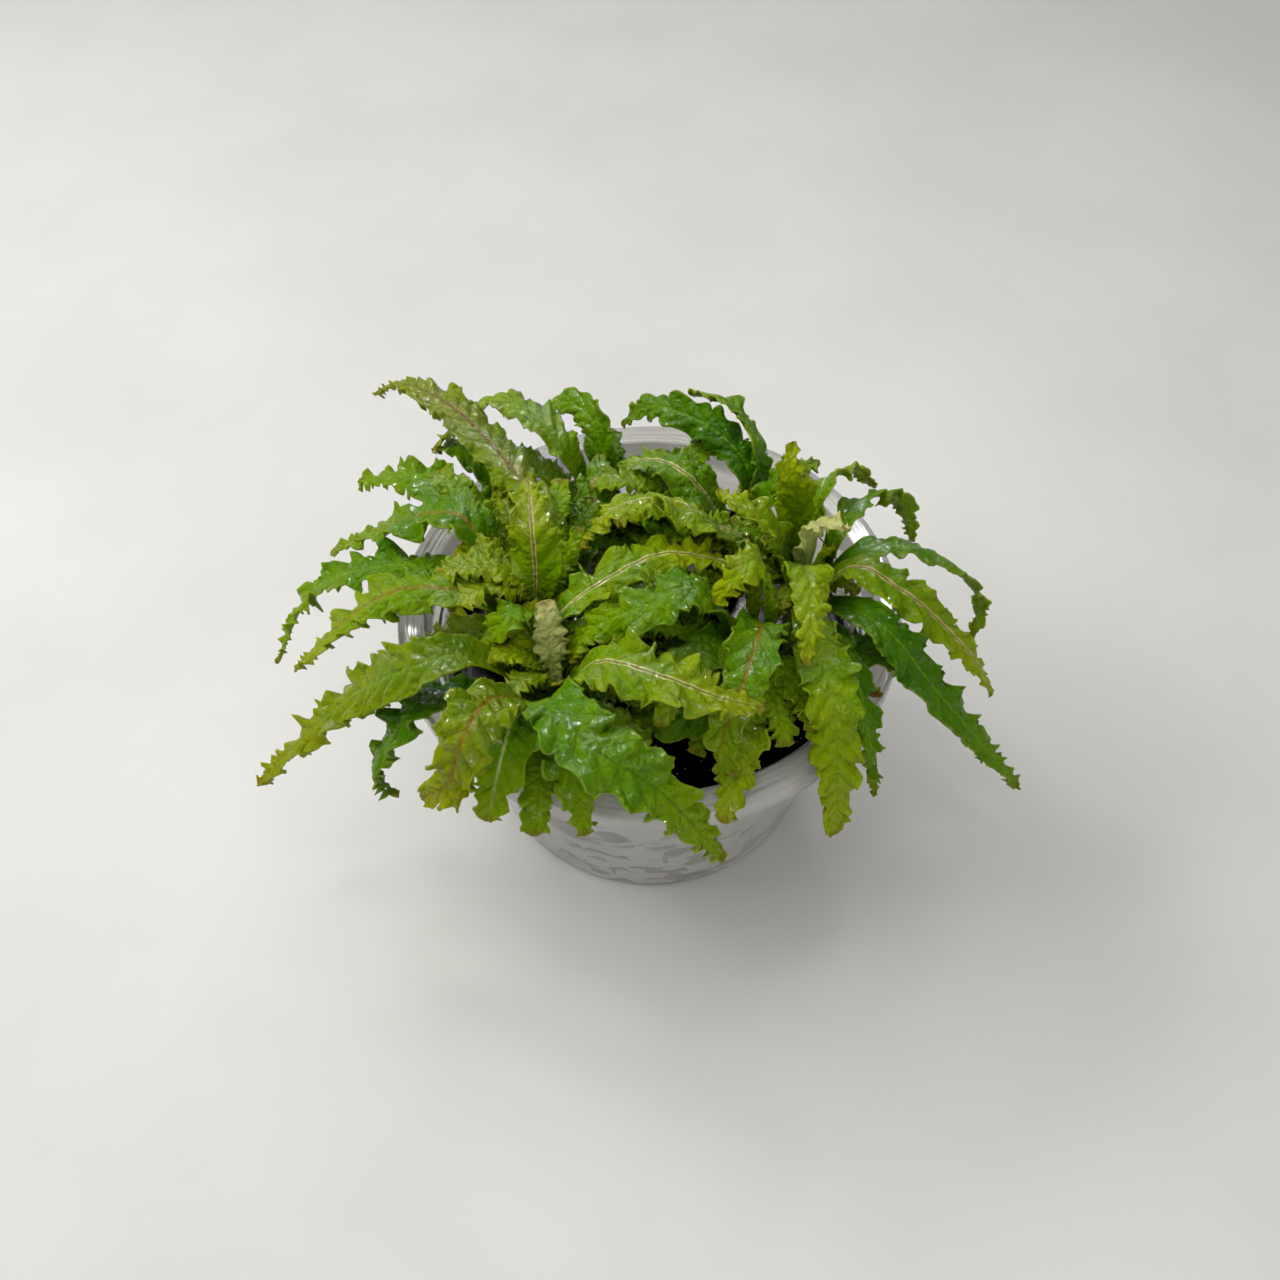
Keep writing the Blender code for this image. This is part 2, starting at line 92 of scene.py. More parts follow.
class Kind(Enum):
    """A shader node: its type, the output that is used, its inputs in turn, its settings.

    A rise's numbers are where it starts and ends, and what it gives there if not 0 and 1.
    """

    PLACE = ("ShaderNodeTexCoord", "Object", (), {})
    MEASURE = ("ShaderNodeAttribute", "Fac", (), {})
    NOISE = ("ShaderNodeTexNoise", "Fac", ("Vector", "Scale", "Detail"), {})
    CELLS = ("ShaderNodeTexVoronoi", "Distance", ("Vector", "Scale", "Randomness"), {})
    TIMES = ("ShaderNodeMath", 0, (0, 1), {"operation": "MULTIPLY"})
    TIMES_PLUS = ("ShaderNodeMath", 0, (0, 1, 2), {"operation": "MULTIPLY_ADD"})
    MINUS = ("ShaderNodeMath", 0, (0, 1), {"operation": "SUBTRACT"})
    UNSIGNED = ("ShaderNodeMath", 0, (0,), {"operation": "ABSOLUTE"})
    ZIGZAG = ("ShaderNodeMath", 0, (0, 1), {"operation": "PINGPONG"})
    ANGLE = ("ShaderNodeMath", 0, (0, 1), {"operation": "ARCTAN2"})
    RISE = (
        "ShaderNodeMapRange",
        "Result",
        ("Value", "From Min", "From Max", "To Min", "To Max"),
        {"interpolation_type": "SMOOTHSTEP"},
    )
    BLEND = ("ShaderNodeMix", 2, (0, 6, 7), {"data_type": "RGBA"})
    BUMP = ("ShaderNodeBump", "Normal", ("Strength", "Distance", "Height"), {})
    STRETCH = ("ShaderNodeMapping", 0, ("Vector", "Scale"), {})
    AXES = ("ShaderNodeSeparateXYZ", 0, (0,), {})
    LEVEL_PLACE = ("ShaderNodeCombineXYZ", 0, (0, 1), {})
    FIRST_CHANNEL = ("ShaderNodeSeparateColor", 0, (0,), {})
    RAMP = ("ShaderNodeValToRGB", "Color", ("Fac",), {})


class Surface:
    """A material that is being made, with its nodes and its Principled shader."""

    def __init__(self, name: str) -> None:
        """Start the material, named for what it is."""
        self.material = bpy.data.materials.new(name)
        self.material.use_nodes = True

    def add(self, kind: Kind, *values: Socket | float | str, **settings: str) -> Socket:
        """Add a shader node with its settings and links.

        Args:
            kind: The kind of node.
            values: For each input in turn, a linked socket, a value or an sRGB hex colour.
            settings: Values of its properties.

        Returns:
            The output that is used.
        """
        node_type, output, names, preset = kind.value
        node = self.material.node_tree.nodes.new(node_type)
        for key, value in (preset | settings).items():
            setattr(node, key, value)
        self.set_inputs(node, dict(zip(names, values)))
        return node.outputs[output]

    def set_inputs(self, node: bpy.types.Node, inputs: dict) -> None:
        """Set a node's inputs, each to a value, an sRGB hex colour or a link from a socket."""
        for key, value in inputs.items():
            if isinstance(value, Socket):
                self.material.node_tree.links.new(value, node.inputs[key])
            else:
                node.inputs[key].default_value = srgb(value) if isinstance(value, str) else value

    def shade(self, inputs: dict) -> Material:
        """Set the Principled shader's inputs and give the finished material."""
        self.set_inputs(self.material.node_tree.nodes["Principled BSDF"], inputs)
        return self.material


def select_only(piece: Piece | None = None) -> None:
    """Leave nothing selected but the given piece, and make it the active one."""
    bpy.ops.object.select_all(action="DESELECT")
    if piece:
        piece.select_set(True)
        bpy.context.view_layer.objects.active = piece


def start_piece(name: str) -> Piece:
    """Name the object that was just added, and give it."""
    piece = bpy.context.active_object
    piece.name = name
    piece.data.name = name
    return piece


def apply_modifier(piece: Piece, name: str, kind: str, settings: dict) -> None:
    """Add a modifier to a piece and apply it.

    Args:
        piece: The piece.
        name: What the modifier does.
        kind: The modifier's type.
        settings: Values of its properties.
    """
    modifier = piece.modifiers.new(name, kind)
    for key, value in settings.items():
        setattr(modifier, key, value)
    bpy.context.view_layer.objects.active = piece
    bpy.ops.object.modifier_apply(modifier=name)


def points_of(piece: Piece) -> np.ndarray:
    """Read a piece's vertices, one row of x, y and z for each."""
    flat = np.empty(len(piece.data.vertices) * 3, np.float32)
    piece.data.vertices.foreach_get("co", flat)
    return flat.reshape(-1, 3).astype(float)


def place_points(piece: Piece, points: np.ndarray) -> None:
    """Write a piece's vertices."""
    piece.data.vertices.foreach_set("co", points.astype(np.float32).ravel())
    piece.data.update()


def turned_shell(
    name: str, profile: list[tuple[float, float]], centre: tuple[float, float], sides: int
) -> Piece:
    """Draw a disc out from ring to ring of a profile, as a pot is drawn up.

    Args:
        name: The piece's name.
        profile: Radius and height of each ring, from the first disc to the last.
        centre: Where its axis stands.
        sides: How many sides it has.

    Returns:
        The closed shell.
    """
    select_only()
    radius, height = profile[0]
    bpy.ops.mesh.primitive_circle_add(
        vertices=sides, radius=radius, fill_type="NGON", location=(*centre, height)
    )
    piece = start_piece(name)
    bpy.ops.object.mode_set(mode="EDIT")
    bpy.ops.mesh.select_all(action="SELECT")
    for next_radius, next_height in profile[1:]:
        lift = (0.0, 0.0, next_height - height)
        bpy.ops.mesh.extrude_region_move(TRANSFORM_OT_translate={"value": lift})
        growth = next_radius / radius
        bpy.ops.transform.resize(value=(growth, growth, 1.0))
        radius = next_radius
        height = next_height
    bpy.ops.mesh.select_all(action="SELECT")
    bpy.ops.mesh.normals_make_consistent(inside=False)
    bpy.ops.object.mode_set(mode="OBJECT")
    select_only(piece)
    bpy.ops.object.transform_apply(location=True, rotation=True, scale=True)
    return piece


def hand_over(piece: Piece, node: str, slot: str) -> None:
    """Attach a finished piece to the body it rides on, and hide the CAD node it stands for.

    Args:
        piece: The finished piece.
        node: The CAD node it stands for, if there is one of that name.
        slot: The record's material slot; not used.
    """
    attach(piece, BODY)
    if node in frame["nodes"]:
        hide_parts(node)
    log.info("%s is %s, %d faces", piece.name, node, len(piece.data.polygons))


class Midrib(Enum):
    """How a leaf's midrib looks: its colour, and its lines' distance and half width in mm."""

    GREEN = ("6E9A14", 0.0, 0.22)
    PALE = ("C4CC7C", 0.0, 0.3)
    GOLDEN_PAIR = ("D2CC86", 0.38, 0.13)
    PINK_PAIR = ("CDB684", 0.35, 0.13)
    RED = ("8C6A14", 0.0, 0.42)
    PURPLE_BROWN = ("755812", 0.0, 0.46)
    DARK = ("447002", 0.0, 0.24)


class Tone(Enum):
    """A leaf's tone: the record's slot, and its stalk, blade, tip and underside colours.

    The stalk colour is the stalk's own greener tone, darkened partly as painted shade where the
    leaf's foot sits down in the crown.
    """

    OLIVE = ("leaf_tissue_olive", "547C00", "708800", "8E9404", "788A28")
    YELLOW = ("leaf_tissue_yellow", "508000", "729200", "98A604", "80942A")
    MID = ("leaf_tissue_mid", "367200", "588400", "7E9A00", "608226")
    # Deep: the mid greens darkened, partly painted shade for leaves low in the crown and under
    # others.
    DEEP = ("leaf_tissue_deep", "285E00", "407200", "688C00", "46721C")
    PALE = ("leaf_tissue_pale", "A4B44A", "B8BE68", "CCC880", "A0A858")
    SCORCHED = ("leaf_tissue_deep", "4C7C00", "8A9204", "6E4A10", "80842A")


@dataclass(frozen=True)
class LeafTissue:
    """Wet, thin leaf tissue.

    A film of water over soft green cells gives the eye a clear hard glint on each small
    bump over a soft, slightly see-through body.
    """

    tone: Tone
    midrib: Midrib
    underside: bool

    MOTTLE_SIZE_MM = 7.0
    CELL_SIZE_MM = 1.8
    GRAIN_SIZE_MM = 0.65
    STREAK_SIZE_MM = 1.3
    BUMP_DEPTH_MM = 0.28
    GRAIN_DEPTH = 0.75
    SIDE_VEIN_DEPTH = -0.4
    LINE_STRENGTH = 0.85
    WATER_IOR = 1.33
    UPPER_FILM = 0.5
    UNDER_FILM = 0.15
    FILM_ROUGHNESS = 0.03
    ROUGHNESS = (0.3, 0.7, 0.42, 0.56)
    SCATTER_MM = 1.2
    SCATTER_BY_COLOUR = (0.6, 1.0, 0.15)
    BLADE_START = (0.16, 0.32)
    # Where the stalk colour, partly painted shade at the foot, gives way to the blade colour.
    SHADED_FOOT_TO_BLADE_RISE = (0.1, 0.42)
    TIP_TINT_RISE = (0.45, 1.0)
    FRESH_SHARE = (0.45, 0.7, 0.0, 0.4)
    DARK_SHARE = (0.5, 0.26, 0.0, 0.42)
    GRAIN_SHARE = (0.35, 0.7, 0.0, 0.12)
    NET_SHARE = (0.0, 0.1, 0.07, 0.0)
    DOME_RISE = (0.0, 0.42)
    VEIN_RISE = (0.8, 0.99)
    VEIN_SHARE = 0.08
    PALE_VEIN_SHARE = 0.6
    MARGIN_SHARE = (0.05, 0.35, 0.25, 0.0)
    SCORCH_SHARE = (0.955, 1.0, 0.0, 0.55)
    LINE_EDGES = (0.4, 1.7)
    LINE_FADING = (1.0, 0.7, 0.15, 1.0)
    LINE_BREAKS = (0.38, 0.55, 0.6, 1.0)
    CORE_START = 0.4
    CORE_STRENGTH = 0.55
    GRAIN_TINT = "4E7A00"
    NET_TINT = "3F7000"
    VEIN_TINT = "3A7000"
    PALE_VEIN_TINT = "DCDEAA"
    CORE_TINT = "7E6A10"
    MARGIN_TINT = "ACB22C"
    SCORCH_TINT = "80601A"

    def build(self) -> Material:
        """Make the tissue's material.

        Returns:
            The material.
        """
        side = "underside" if self.underside else "upper"
        name = f"wet_leaf_tissue_{self.tone.name}_{self.midrib.name}_{side}".lower()
        surface = Surface(name)
        add = surface.add
        along, aside, inset, vein = (
            add(Kind.MEASURE, attribute_name=measure)
            for measure in ("along", "aside_mm", "inset_mm", "vein")
        )
        place = add(Kind.PLACE)
        mottle = add(Kind.NOISE, place, PER_MM / self.MOTTLE_SIZE_MM, 3.0)
        grain = add(Kind.NOISE, place, PER_MM / self.GRAIN_SIZE_MM, 2.0)
        cells = add(Kind.CELLS, place, PER_MM / self.CELL_SIZE_MM, feature="DISTANCE_TO_EDGE")
        zigzag = add(Kind.ZIGZAG, vein, 1.0)
        on_blade = add(Kind.RISE, along, *self.BLADE_START)
        side_vein = add(Kind.TIMES, add(Kind.RISE, zigzag, *self.VEIN_RISE), on_blade)
        colour = self.tissue_colour(surface, along, mottle)
        grained = add(Kind.RISE, grain, *self.GRAIN_SHARE)
        colour = add(Kind.BLEND, grained, colour, self.GRAIN_TINT, blend_type="MULTIPLY")
        net = add(Kind.RISE, cells, *self.NET_SHARE)
        colour = add(Kind.BLEND, net, colour, self.NET_TINT)
        share, tint = self.VEIN_SHARE, self.VEIN_TINT
        if self.tone is Tone.PALE:
            share, tint = self.PALE_VEIN_SHARE, self.PALE_VEIN_TINT
        colour = add(Kind.BLEND, add(Kind.TIMES, side_vein, share), colour, tint)
        colour = self.with_midrib(surface, colour, aside, along)
        edge = add(Kind.RISE, inset, *self.MARGIN_SHARE)
        colour = add(Kind.BLEND, edge, colour, self.MARGIN_TINT)
        tip = add(Kind.RISE, along, *self.SCORCH_SHARE)
        colour = add(Kind.BLEND, tip, colour, self.SCORCH_TINT)
        # Small domes between the net of veins, the grain on them, and sunk side veins.
        domes = add(Kind.RISE, cells, *self.DOME_RISE)
        rough = add(Kind.TIMES_PLUS, grain, self.GRAIN_DEPTH, domes)
        relief = add(Kind.TIMES_PLUS, side_vein, self.SIDE_VEIN_DEPTH, rough)
        bump = add(Kind.BUMP, 1.0, self.BUMP_DEPTH_MM * MM, relief)
        return surface.shade(
            {
                "Base Color": colour,
                "Roughness": add(Kind.RISE, mottle, *self.ROUGHNESS),
                "IOR": 1.42,
                "Specular IOR Level": 0.03,
                "Normal": bump,
                "Coat Weight": self.UNDER_FILM if self.underside else self.UPPER_FILM,
                "Coat Roughness": self.FILM_ROUGHNESS,
                "Coat IOR": self.WATER_IOR,
                "Coat Normal": bump,
                "Subsurface Weight": 0.25,
                "Subsurface Radius": self.SCATTER_BY_COLOUR,
                "Subsurface Scale": self.SCATTER_MM * MM,
            }
        )

    def tissue_colour(self, surface: Surface, along: Socket, mottle: Socket) -> Socket:
        """Give the tissue's colour: greener and darker on the stalk, the darkness partly painted
        shade at the leaf's foot; yellower to the tip, and mottled.

        Args:
            surface: The material it is for.
            along: The share of the leaf's length.
            mottle: The soft noise that mottles it.

        Returns:
            The colour.
        """
        add = surface.add
        _, stalk, blade, tip, under = self.tone.value
        if self.underside:
            stalk = blade = under
        # The stalk colour, full at the foot and fading along the stalk, is partly painted shade.
        body = add(Kind.BLEND, add(Kind.RISE, along, *self.SHADED_FOOT_TO_BLADE_RISE), stalk, blade)
        body = add(Kind.BLEND, add(Kind.RISE, along, *self.TIP_TINT_RISE), body, tip)
        body = add(Kind.BLEND, add(Kind.RISE, mottle, *self.FRESH_SHARE), body, tip)
        return add(Kind.BLEND, add(Kind.RISE, mottle, *self.DARK_SHARE), body, stalk)

    def with_midrib(self, surface: Surface, colour: Socket, aside: Socket, along: Socket) -> Socket:
        """Draw the midrib's line or pair of lines over the tissue.

        Args:
            surface: The material it is for.
            colour: The tissue's colour.
            aside: The distance from the midrib, in millimetres.
            along: The share of the leaf's length.

        Returns:
            The colour with the midrib on it.
        """
        add = surface.add
        tint, distance, half_width = self.midrib.value
        off_line = add(Kind.UNSIGNED, add(Kind.MINUS, aside, distance))
        near, far = (half_width * share for share in self.LINE_EDGES)
        line = add(Kind.RISE, off_line, near, far, self.LINE_STRENGTH, 0.0)
        fading = add(Kind.RISE, along, *self.LINE_FADING)
        streak = add(Kind.NOISE, add(Kind.PLACE), PER_MM / self.STREAK_SIZE_MM, 2.0)
        broken = add(Kind.RISE, streak, *self.LINE_BREAKS)
        line = add(Kind.TIMES, add(Kind.TIMES, line, fading), broken)
        if distance:
            inner = distance * self.CORE_START
            core = add(Kind.RISE, aside, inner, distance, self.CORE_STRENGTH, 0.0)
            colour = add(Kind.BLEND, add(Kind.TIMES, core, fading), colour, self.CORE_TINT)
        return add(Kind.BLEND, line, colour, tint)


@dataclass(frozen=True)
class StemTissue:
    """Moist stem tissue, smooth and firm.

    It gives the eye faint pale streaks along the stem and a dull wet gleam.
    """

    STREAK_SIZE_MM = 0.6
    BUMP_DEPTH_MM = 0.1
    TINTS = ((0.3, "4C7412"), (0.5, "6E8F1E"), (0.72, "93A544"))

    def build(self) -> Material:
        """Make the stem's material.

        Returns:
            The material.
        """
        surface = Surface("moist_stem_tissue")
        add = surface.add
        stretched = add(Kind.STRETCH, add(Kind.PLACE), (1.0, 1.0, 0.15))
        streak = add(Kind.NOISE, stretched, PER_MM / self.STREAK_SIZE_MM, 3.0)
        ramp = add(Kind.RAMP, streak)
        stops = ramp.node.color_ramp.elements
        stops.new(1.0)
        for stop, (position, tint) in zip(stops, self.TINTS):
            stop.position = position
            stop.color = srgb(tint)
        return surface.shade(
            {
                "Base Color": ramp,
                "Roughness": 0.38,
                "IOR": 1.4,
                "Normal": add(Kind.BUMP, 0.4, self.BUMP_DEPTH_MM * MM, streak),
                "Coat Weight": 0.5,
                "Coat Roughness": 0.12,
                "Coat IOR": 1.33,
            }
        )


@dataclass(frozen=True)
class ClearPlastic:
    """Thin moulded PET, clear and hard.

    It gives the eye bright lines where its edges bend light, a grey haze on the wall with
    darker patches where the gel wets it, and fine drops of mist inside, above the gel.
    """

    gel_top: float
    shoulder: float

    TINT = "DAD8D3"
    BLOTCH_LENGTH_MM = 4.2
    BLOTCH_HEIGHT_MM = 2.3
    WALL_RADIUS_MM = 39.0
    MIST_SIZE_MM = 0.55
    DROP_DEPTH_MM = 0.08
    DROP_RISE = (0.55, 0.1)
    PATCH_SCALE = 0.35
    PATCH_RISE = (0.35, 0.6)
    SMEAR_SCALE = 2.6
    SMEAR_STRENGTH = 0.5
    WET_HAZE = (0.6, 0.75, 0.34, 0.05)
    WALL_HAZE = 0.1
    RIM_HAZE = 0.3
    CLEARNESS = 0.97
    ROUGHNESS = (0.3, 0.7, 0.04, 0.14)

    def build(self) -> Material:
        """Make the plastic's material.

        Returns:
            The material.
        """
        surface = Surface("clear_moulded_pet")
        add = surface.add
        place = add(Kind.PLACE)
        axes = add(Kind.AXES, place).node.outputs
        height = axes["Z"]
        turn = add(Kind.ANGLE, axes["Y"], axes["X"])
        lengths = add(Kind.TIMES, turn, self.WALL_RADIUS_MM / self.BLOTCH_LENGTH_MM)
        heights = add(Kind.TIMES, height, PER_MM / self.BLOTCH_HEIGHT_MM)
        unrolled = add(Kind.LEVEL_PLACE, lengths, heights)
        flat = {"voronoi_dimensions": "2D", "distance": "CHEBYCHEV"}
        squares = add(Kind.CELLS, unrolled, 1.0, 0.8, **flat).node.outputs["Color"]
        blotch = add(Kind.FIRST_CHANNEL, squares)
        patches = add(Kind.NOISE, unrolled, self.PATCH_SCALE, 2.0)
        smear = add(Kind.NOISE, unrolled, self.SMEAR_SCALE, 4.0)
        wet = add(Kind.TIMES, blotch, add(Kind.RISE, patches, *self.PATCH_RISE))
        wet = add(Kind.TIMES_PLUS, smear, self.SMEAR_STRENGTH, wet)
        below = add(Kind.RISE, height, self.gel_top + 1.0 * MM, self.gel_top - 1.5 * MM)
        haze = add(Kind.RISE, wet, *self.WET_HAZE)
        haze = add(Kind.TIMES_PLUS, haze, below, self.WALL_HAZE)
        on_rim = add(Kind.RISE, height, self.shoulder + 1.0 * MM, self.shoulder + 3.0 * MM)
        haze = add(Kind.TIMES_PLUS, on_rim, self.RIM_HAZE, haze)
        mist = add(Kind.CELLS, place, PER_MM / self.MIST_SIZE_MM)
        drops = add(Kind.RISE, mist, *self.DROP_RISE)
        misted = add(Kind.RISE, height, self.gel_top, self.gel_top + 2.0 * MM, 0.0, 0.5)
        drops = add(Kind.TIMES, drops, misted)
        inside = add(Kind.RISE, height, self.shoulder, self.shoulder - 2.0 * MM)
        drops = add(Kind.TIMES, drops, inside)
        return surface.shade(
            {
                "Base Color": self.TINT,
                "Roughness": add(Kind.RISE, patches, *self.ROUGHNESS),
                "IOR": 1.57,
                "Normal": add(Kind.BUMP, 0.35, self.DROP_DEPTH_MM * MM, drops),
                "Transmission Weight": add(Kind.MINUS, self.CLEARNESS, haze),
            }
        )


@dataclass(frozen=True)
class BlackGel:
    """Black growing gel, wet and firm.

    It gives the eye a deep black with a soft gleam and tiny beads of water and air.
    Some beads carry painted highlights: pale specks that stand for their glints.
    """

    BEAD_SIZE_MM = 0.8
    WAVE_SIZE_MM = 5.0
    BUMP_DEPTH_MM = 0.5
    BEAD_RISE = (0.34, 0.1)
    BEAD_CHANCE = (0.86, 0.9)
    PAINTED_GLINT_SHARE = 0.75
    BEAD_HEIGHT = 0.5
    BROWN_RISE = (0.4, 0.7)
    ROUGHNESS = (0.3, 0.7, 0.25, 0.5)
    DARK_TINT = "030404"
    BROWN_TINT = "0D0C09"
    # Pale colour painted on some beads: painted highlights for the wet gel's glints.
    PAINTED_GLINT_TINT = "B9BDB8"

    def build(self) -> Material:
        """Make the gel's material.

        Returns:
            The material.
        """
        surface = Surface("wet_black_gel")
        add = surface.add
        place = add(Kind.PLACE)
        beads = add(Kind.CELLS, place, PER_MM / self.BEAD_SIZE_MM)
        near = add(Kind.RISE, beads, *self.BEAD_RISE)
        chance = add(Kind.FIRST_CHANNEL, beads.node.outputs["Color"])
        chosen = add(Kind.RISE, chance, *self.BEAD_CHANCE)
        bright = add(Kind.TIMES, near, chosen)
        waves = add(Kind.NOISE, place, PER_MM / self.WAVE_SIZE_MM, 5.0)
        brown = add(Kind.RISE, waves, *self.BROWN_RISE)
        body = add(Kind.BLEND, brown, self.DARK_TINT, self.BROWN_TINT)
        # The chosen beads are painted pale: painted highlights that stand for glints on the wet
        # gel.
        share = add(Kind.TIMES, bright, self.PAINTED_GLINT_SHARE)
        height = add(Kind.TIMES_PLUS, bright, self.BEAD_HEIGHT, waves)
        return surface.shade(
            {
                "Base Color": add(Kind.BLEND, share, body, self.PAINTED_GLINT_TINT),
                "Roughness": add(Kind.RISE, waves, *self.ROUGHNESS),
                "IOR": 1.34,
                "Specular IOR Level": 0.08,
                "Normal": add(Kind.BUMP, 0.5, self.BUMP_DEPTH_MM * MM, height),
            }
        )


@dataclass
class Leaf:
    """One crisped leaf, grown on the diamond cross-sections of its CAD solid.

    A crisping of 1 swings the margin as far as the solid does. A roundness of 0 gives
    hooked teeth and 1 gives round waves. Cupping is the margin's rise as a share of the
    half width, and each wander is how far that measure strays along the margin.
    """

    node: str
    tone: Tone
    midrib: Midrib
    crisping: float = 0.6
    frill_mm: float = 1.1
    tooth_mm: float = 1.0
    roundness: float = 0.6
    cupping: float = -0.12
    youth: float = 0.0
    slot: str = ""
    slimness: float = 0.96
    step_mm: float = 0.42
    fewest_stations: int = 24
    across_parts: int = 24
    stalk_rings: int = 3
    place_wander: float = 0.45
    strength_wander: float = 0.55
    cup_wander: float = 0.4
    fine_teeth: float = 2.5
    fine_wander: float = 0.7
    fine_weakest: float = 0.6
    fine_strength_wander: float = 0.4
    reach_share: float = 0.5
    lean_share: float = 1.1
    vein_slant: float = 1.25
    dome_mm: float = 0.3
    dome_full_width_mm: float = 4.0
    groove_mm: float = 0.32
    groove_width_mm: float = 0.5
    channel_depth: float = 0.3
    flesh_mm: float = 0.95
    margin_flesh_mm: float = 0.36
    rib_width_mm: float = 0.8
    stalk_flesh: float = 0.75
    rib_flesh: float = 0.45
    tip_thinning: float = 0.6
    tip_margin: float = 0.03

    NEIGHBOUR_SHARES = (0.25, 0.5, 0.25)
    TIP_WIDTH = 0.75
    TIP_SWING = 0.3
    LOOK_STEP = 0.02
    BLADE_STEP = 0.6
    EDGE_START = 0.45
    RISE_POWER = 1.7
    SECOND_RIPPLE = 0.5
    SECOND_RIPPLE_RATE = 2.3
    DOME_POWER = 0.8
    DOME_LIMITS = (0.2, 1.2)
    CHANNEL_POWER = 1.6

    def build(self) -> Piece:
        """Model and dress the leaf.

        Returns:
            The finished piece.
        """
        self.read_rings()
        length = float(np.linalg.norm(np.diff(self.fine_centre, axis=0), axis=1).sum())
        stations = max(self.fewest_stations, round(length * PER_MM / self.step_mm))
        select_only()
        bpy.ops.mesh.primitive_grid_add(
            x_subdivisions=stations, y_subdivisions=self.across_parts, size=2.0
        )
        piece = start_piece(f"crisped_{self.node}")
        flat = points_of(piece)
        share = (flat[:, 0] + 1.0) / 2.0
        along = self.section_at(share)
        points, measures = self.surface(along, flat[:, 1])
        measures["along"] = self.youth + (1.0 - self.youth) * share
        place_points(piece, points)
        for name, values in measures.items():
            layer = piece.data.attributes.new(name, "FLOAT", "POINT")
            layer.data.foreach_set("value", values.astype(np.float32))
        self.give_thickness(piece, along, flat[:, 1], measures["aside_mm"])
        for underside in (False, True):
            piece.data.materials.append(tissue(self.tone, self.midrib, underside))
        hand_over(piece, self.node, self.slot or self.tone.value[0])
        return piece

    def read_rings(self) -> None:
        """Find the solid's cross-sections and measure the margin's swings on them."""
        lines = solid_lines(frame["nodes"][self.node])
        self.count = max(len(line) for line in lines) - 1
        shares = station_shares(self.count, self.stalk_rings)
        ribs = [fill_stations(rib, share_along(rib, rib), shares) for rib in lines[1::2]]
        self.centre = (ribs[0] + ribs[1]) / 2.0
        margins = [
            fill_stations(margin, share_along(margin, self.centre), shares)[:-1]
            for margin in lines[0::2]
        ]
        heading = self.centre[-1] - self.centre[0]
        to_right = np.array((heading[1], -heading[0], 0.0))
        if (margins[0][0] - margins[1][0]) @ to_right > 0.0:
            margins.reverse()
        forward = np.gradient(self.centre, axis=0)[:-1]
        upward = (ribs[0] - ribs[1])[:-1]
        facing = row_dots(upward, np.cross(margins[1] - margins[0], forward))
        upward = unit(upward * np.sign(facing.sum()))
        self.upward = np.append(upward, upward[-1:], axis=0)
        self.measure_midrib()
        stations = np.arange(self.count)
        forward, across, upward = self.directions(stations.astype(float))
        swing = np.where(stations % 2 == 1, 1.0, -1.0)
        swing[:self.stalk_rings] = 0.0
        self.margins = {}
        before, here, after = self.NEIGHBOUR_SHARES
        for side, edge in ((-1.0, margins[0]), (1.0, margins[1])):
            offset = edge - self.centre[:self.count]
            reach = row_dots(offset, across) * side
            smooth = reach.copy()
            smooth[1:-1] = before * reach[:-2] + here * reach[1:-1] + after * reach[2:]
            self.margins[side] = {
                "width": extended(smooth, self.TIP_WIDTH),
                "reach": extended((reach - smooth) * swing, self.TIP_SWING),
                "rise": extended(row_dots(offset, upward) * swing, self.TIP_SWING),
                "lean": extended(row_dots(offset, forward) * swing, self.TIP_SWING),
            }

    def measure_midrib(self) -> None:
        """Follow the midrib closely from the foot to just before the tip."""
        last = self.count - self.tip_margin
        self.fine_places = np.linspace(0.0, last, FINE_STEPS * self.count)
        self.fine_centre = smooth_curve(self.centre, self.fine_places)

    def section_at(self, share: np.ndarray) -> np.ndarray:
        """Turn shares of the leaf's length into places counted in cross-sections."""
        reached = lengths_along(self.fine_centre)
        return np.interp(share * reached[-1], reached, self.fine_places)

    def directions(self, along: np.ndarray) -> tuple[np.ndarray, np.ndarray, np.ndarray]:
        """Give the leaf's own directions at places along it.

        Args:
            along: Places counted in cross-sections.

        Returns:
            Forward, across to the right, and upward.
        """
        ahead, behind = (
            smooth_curve(self.centre, np.clip(along + step, 0.0, self.count))
            for step in (self.LOOK_STEP, -self.LOOK_STEP)
        )
        forward = unit(ahead - behind)
        upward = smooth_curve(self.upward, along)
        upward = unit(upward - row_dots(upward, forward)[:, None] * forward)
        return forward, np.cross(forward, upward), upward

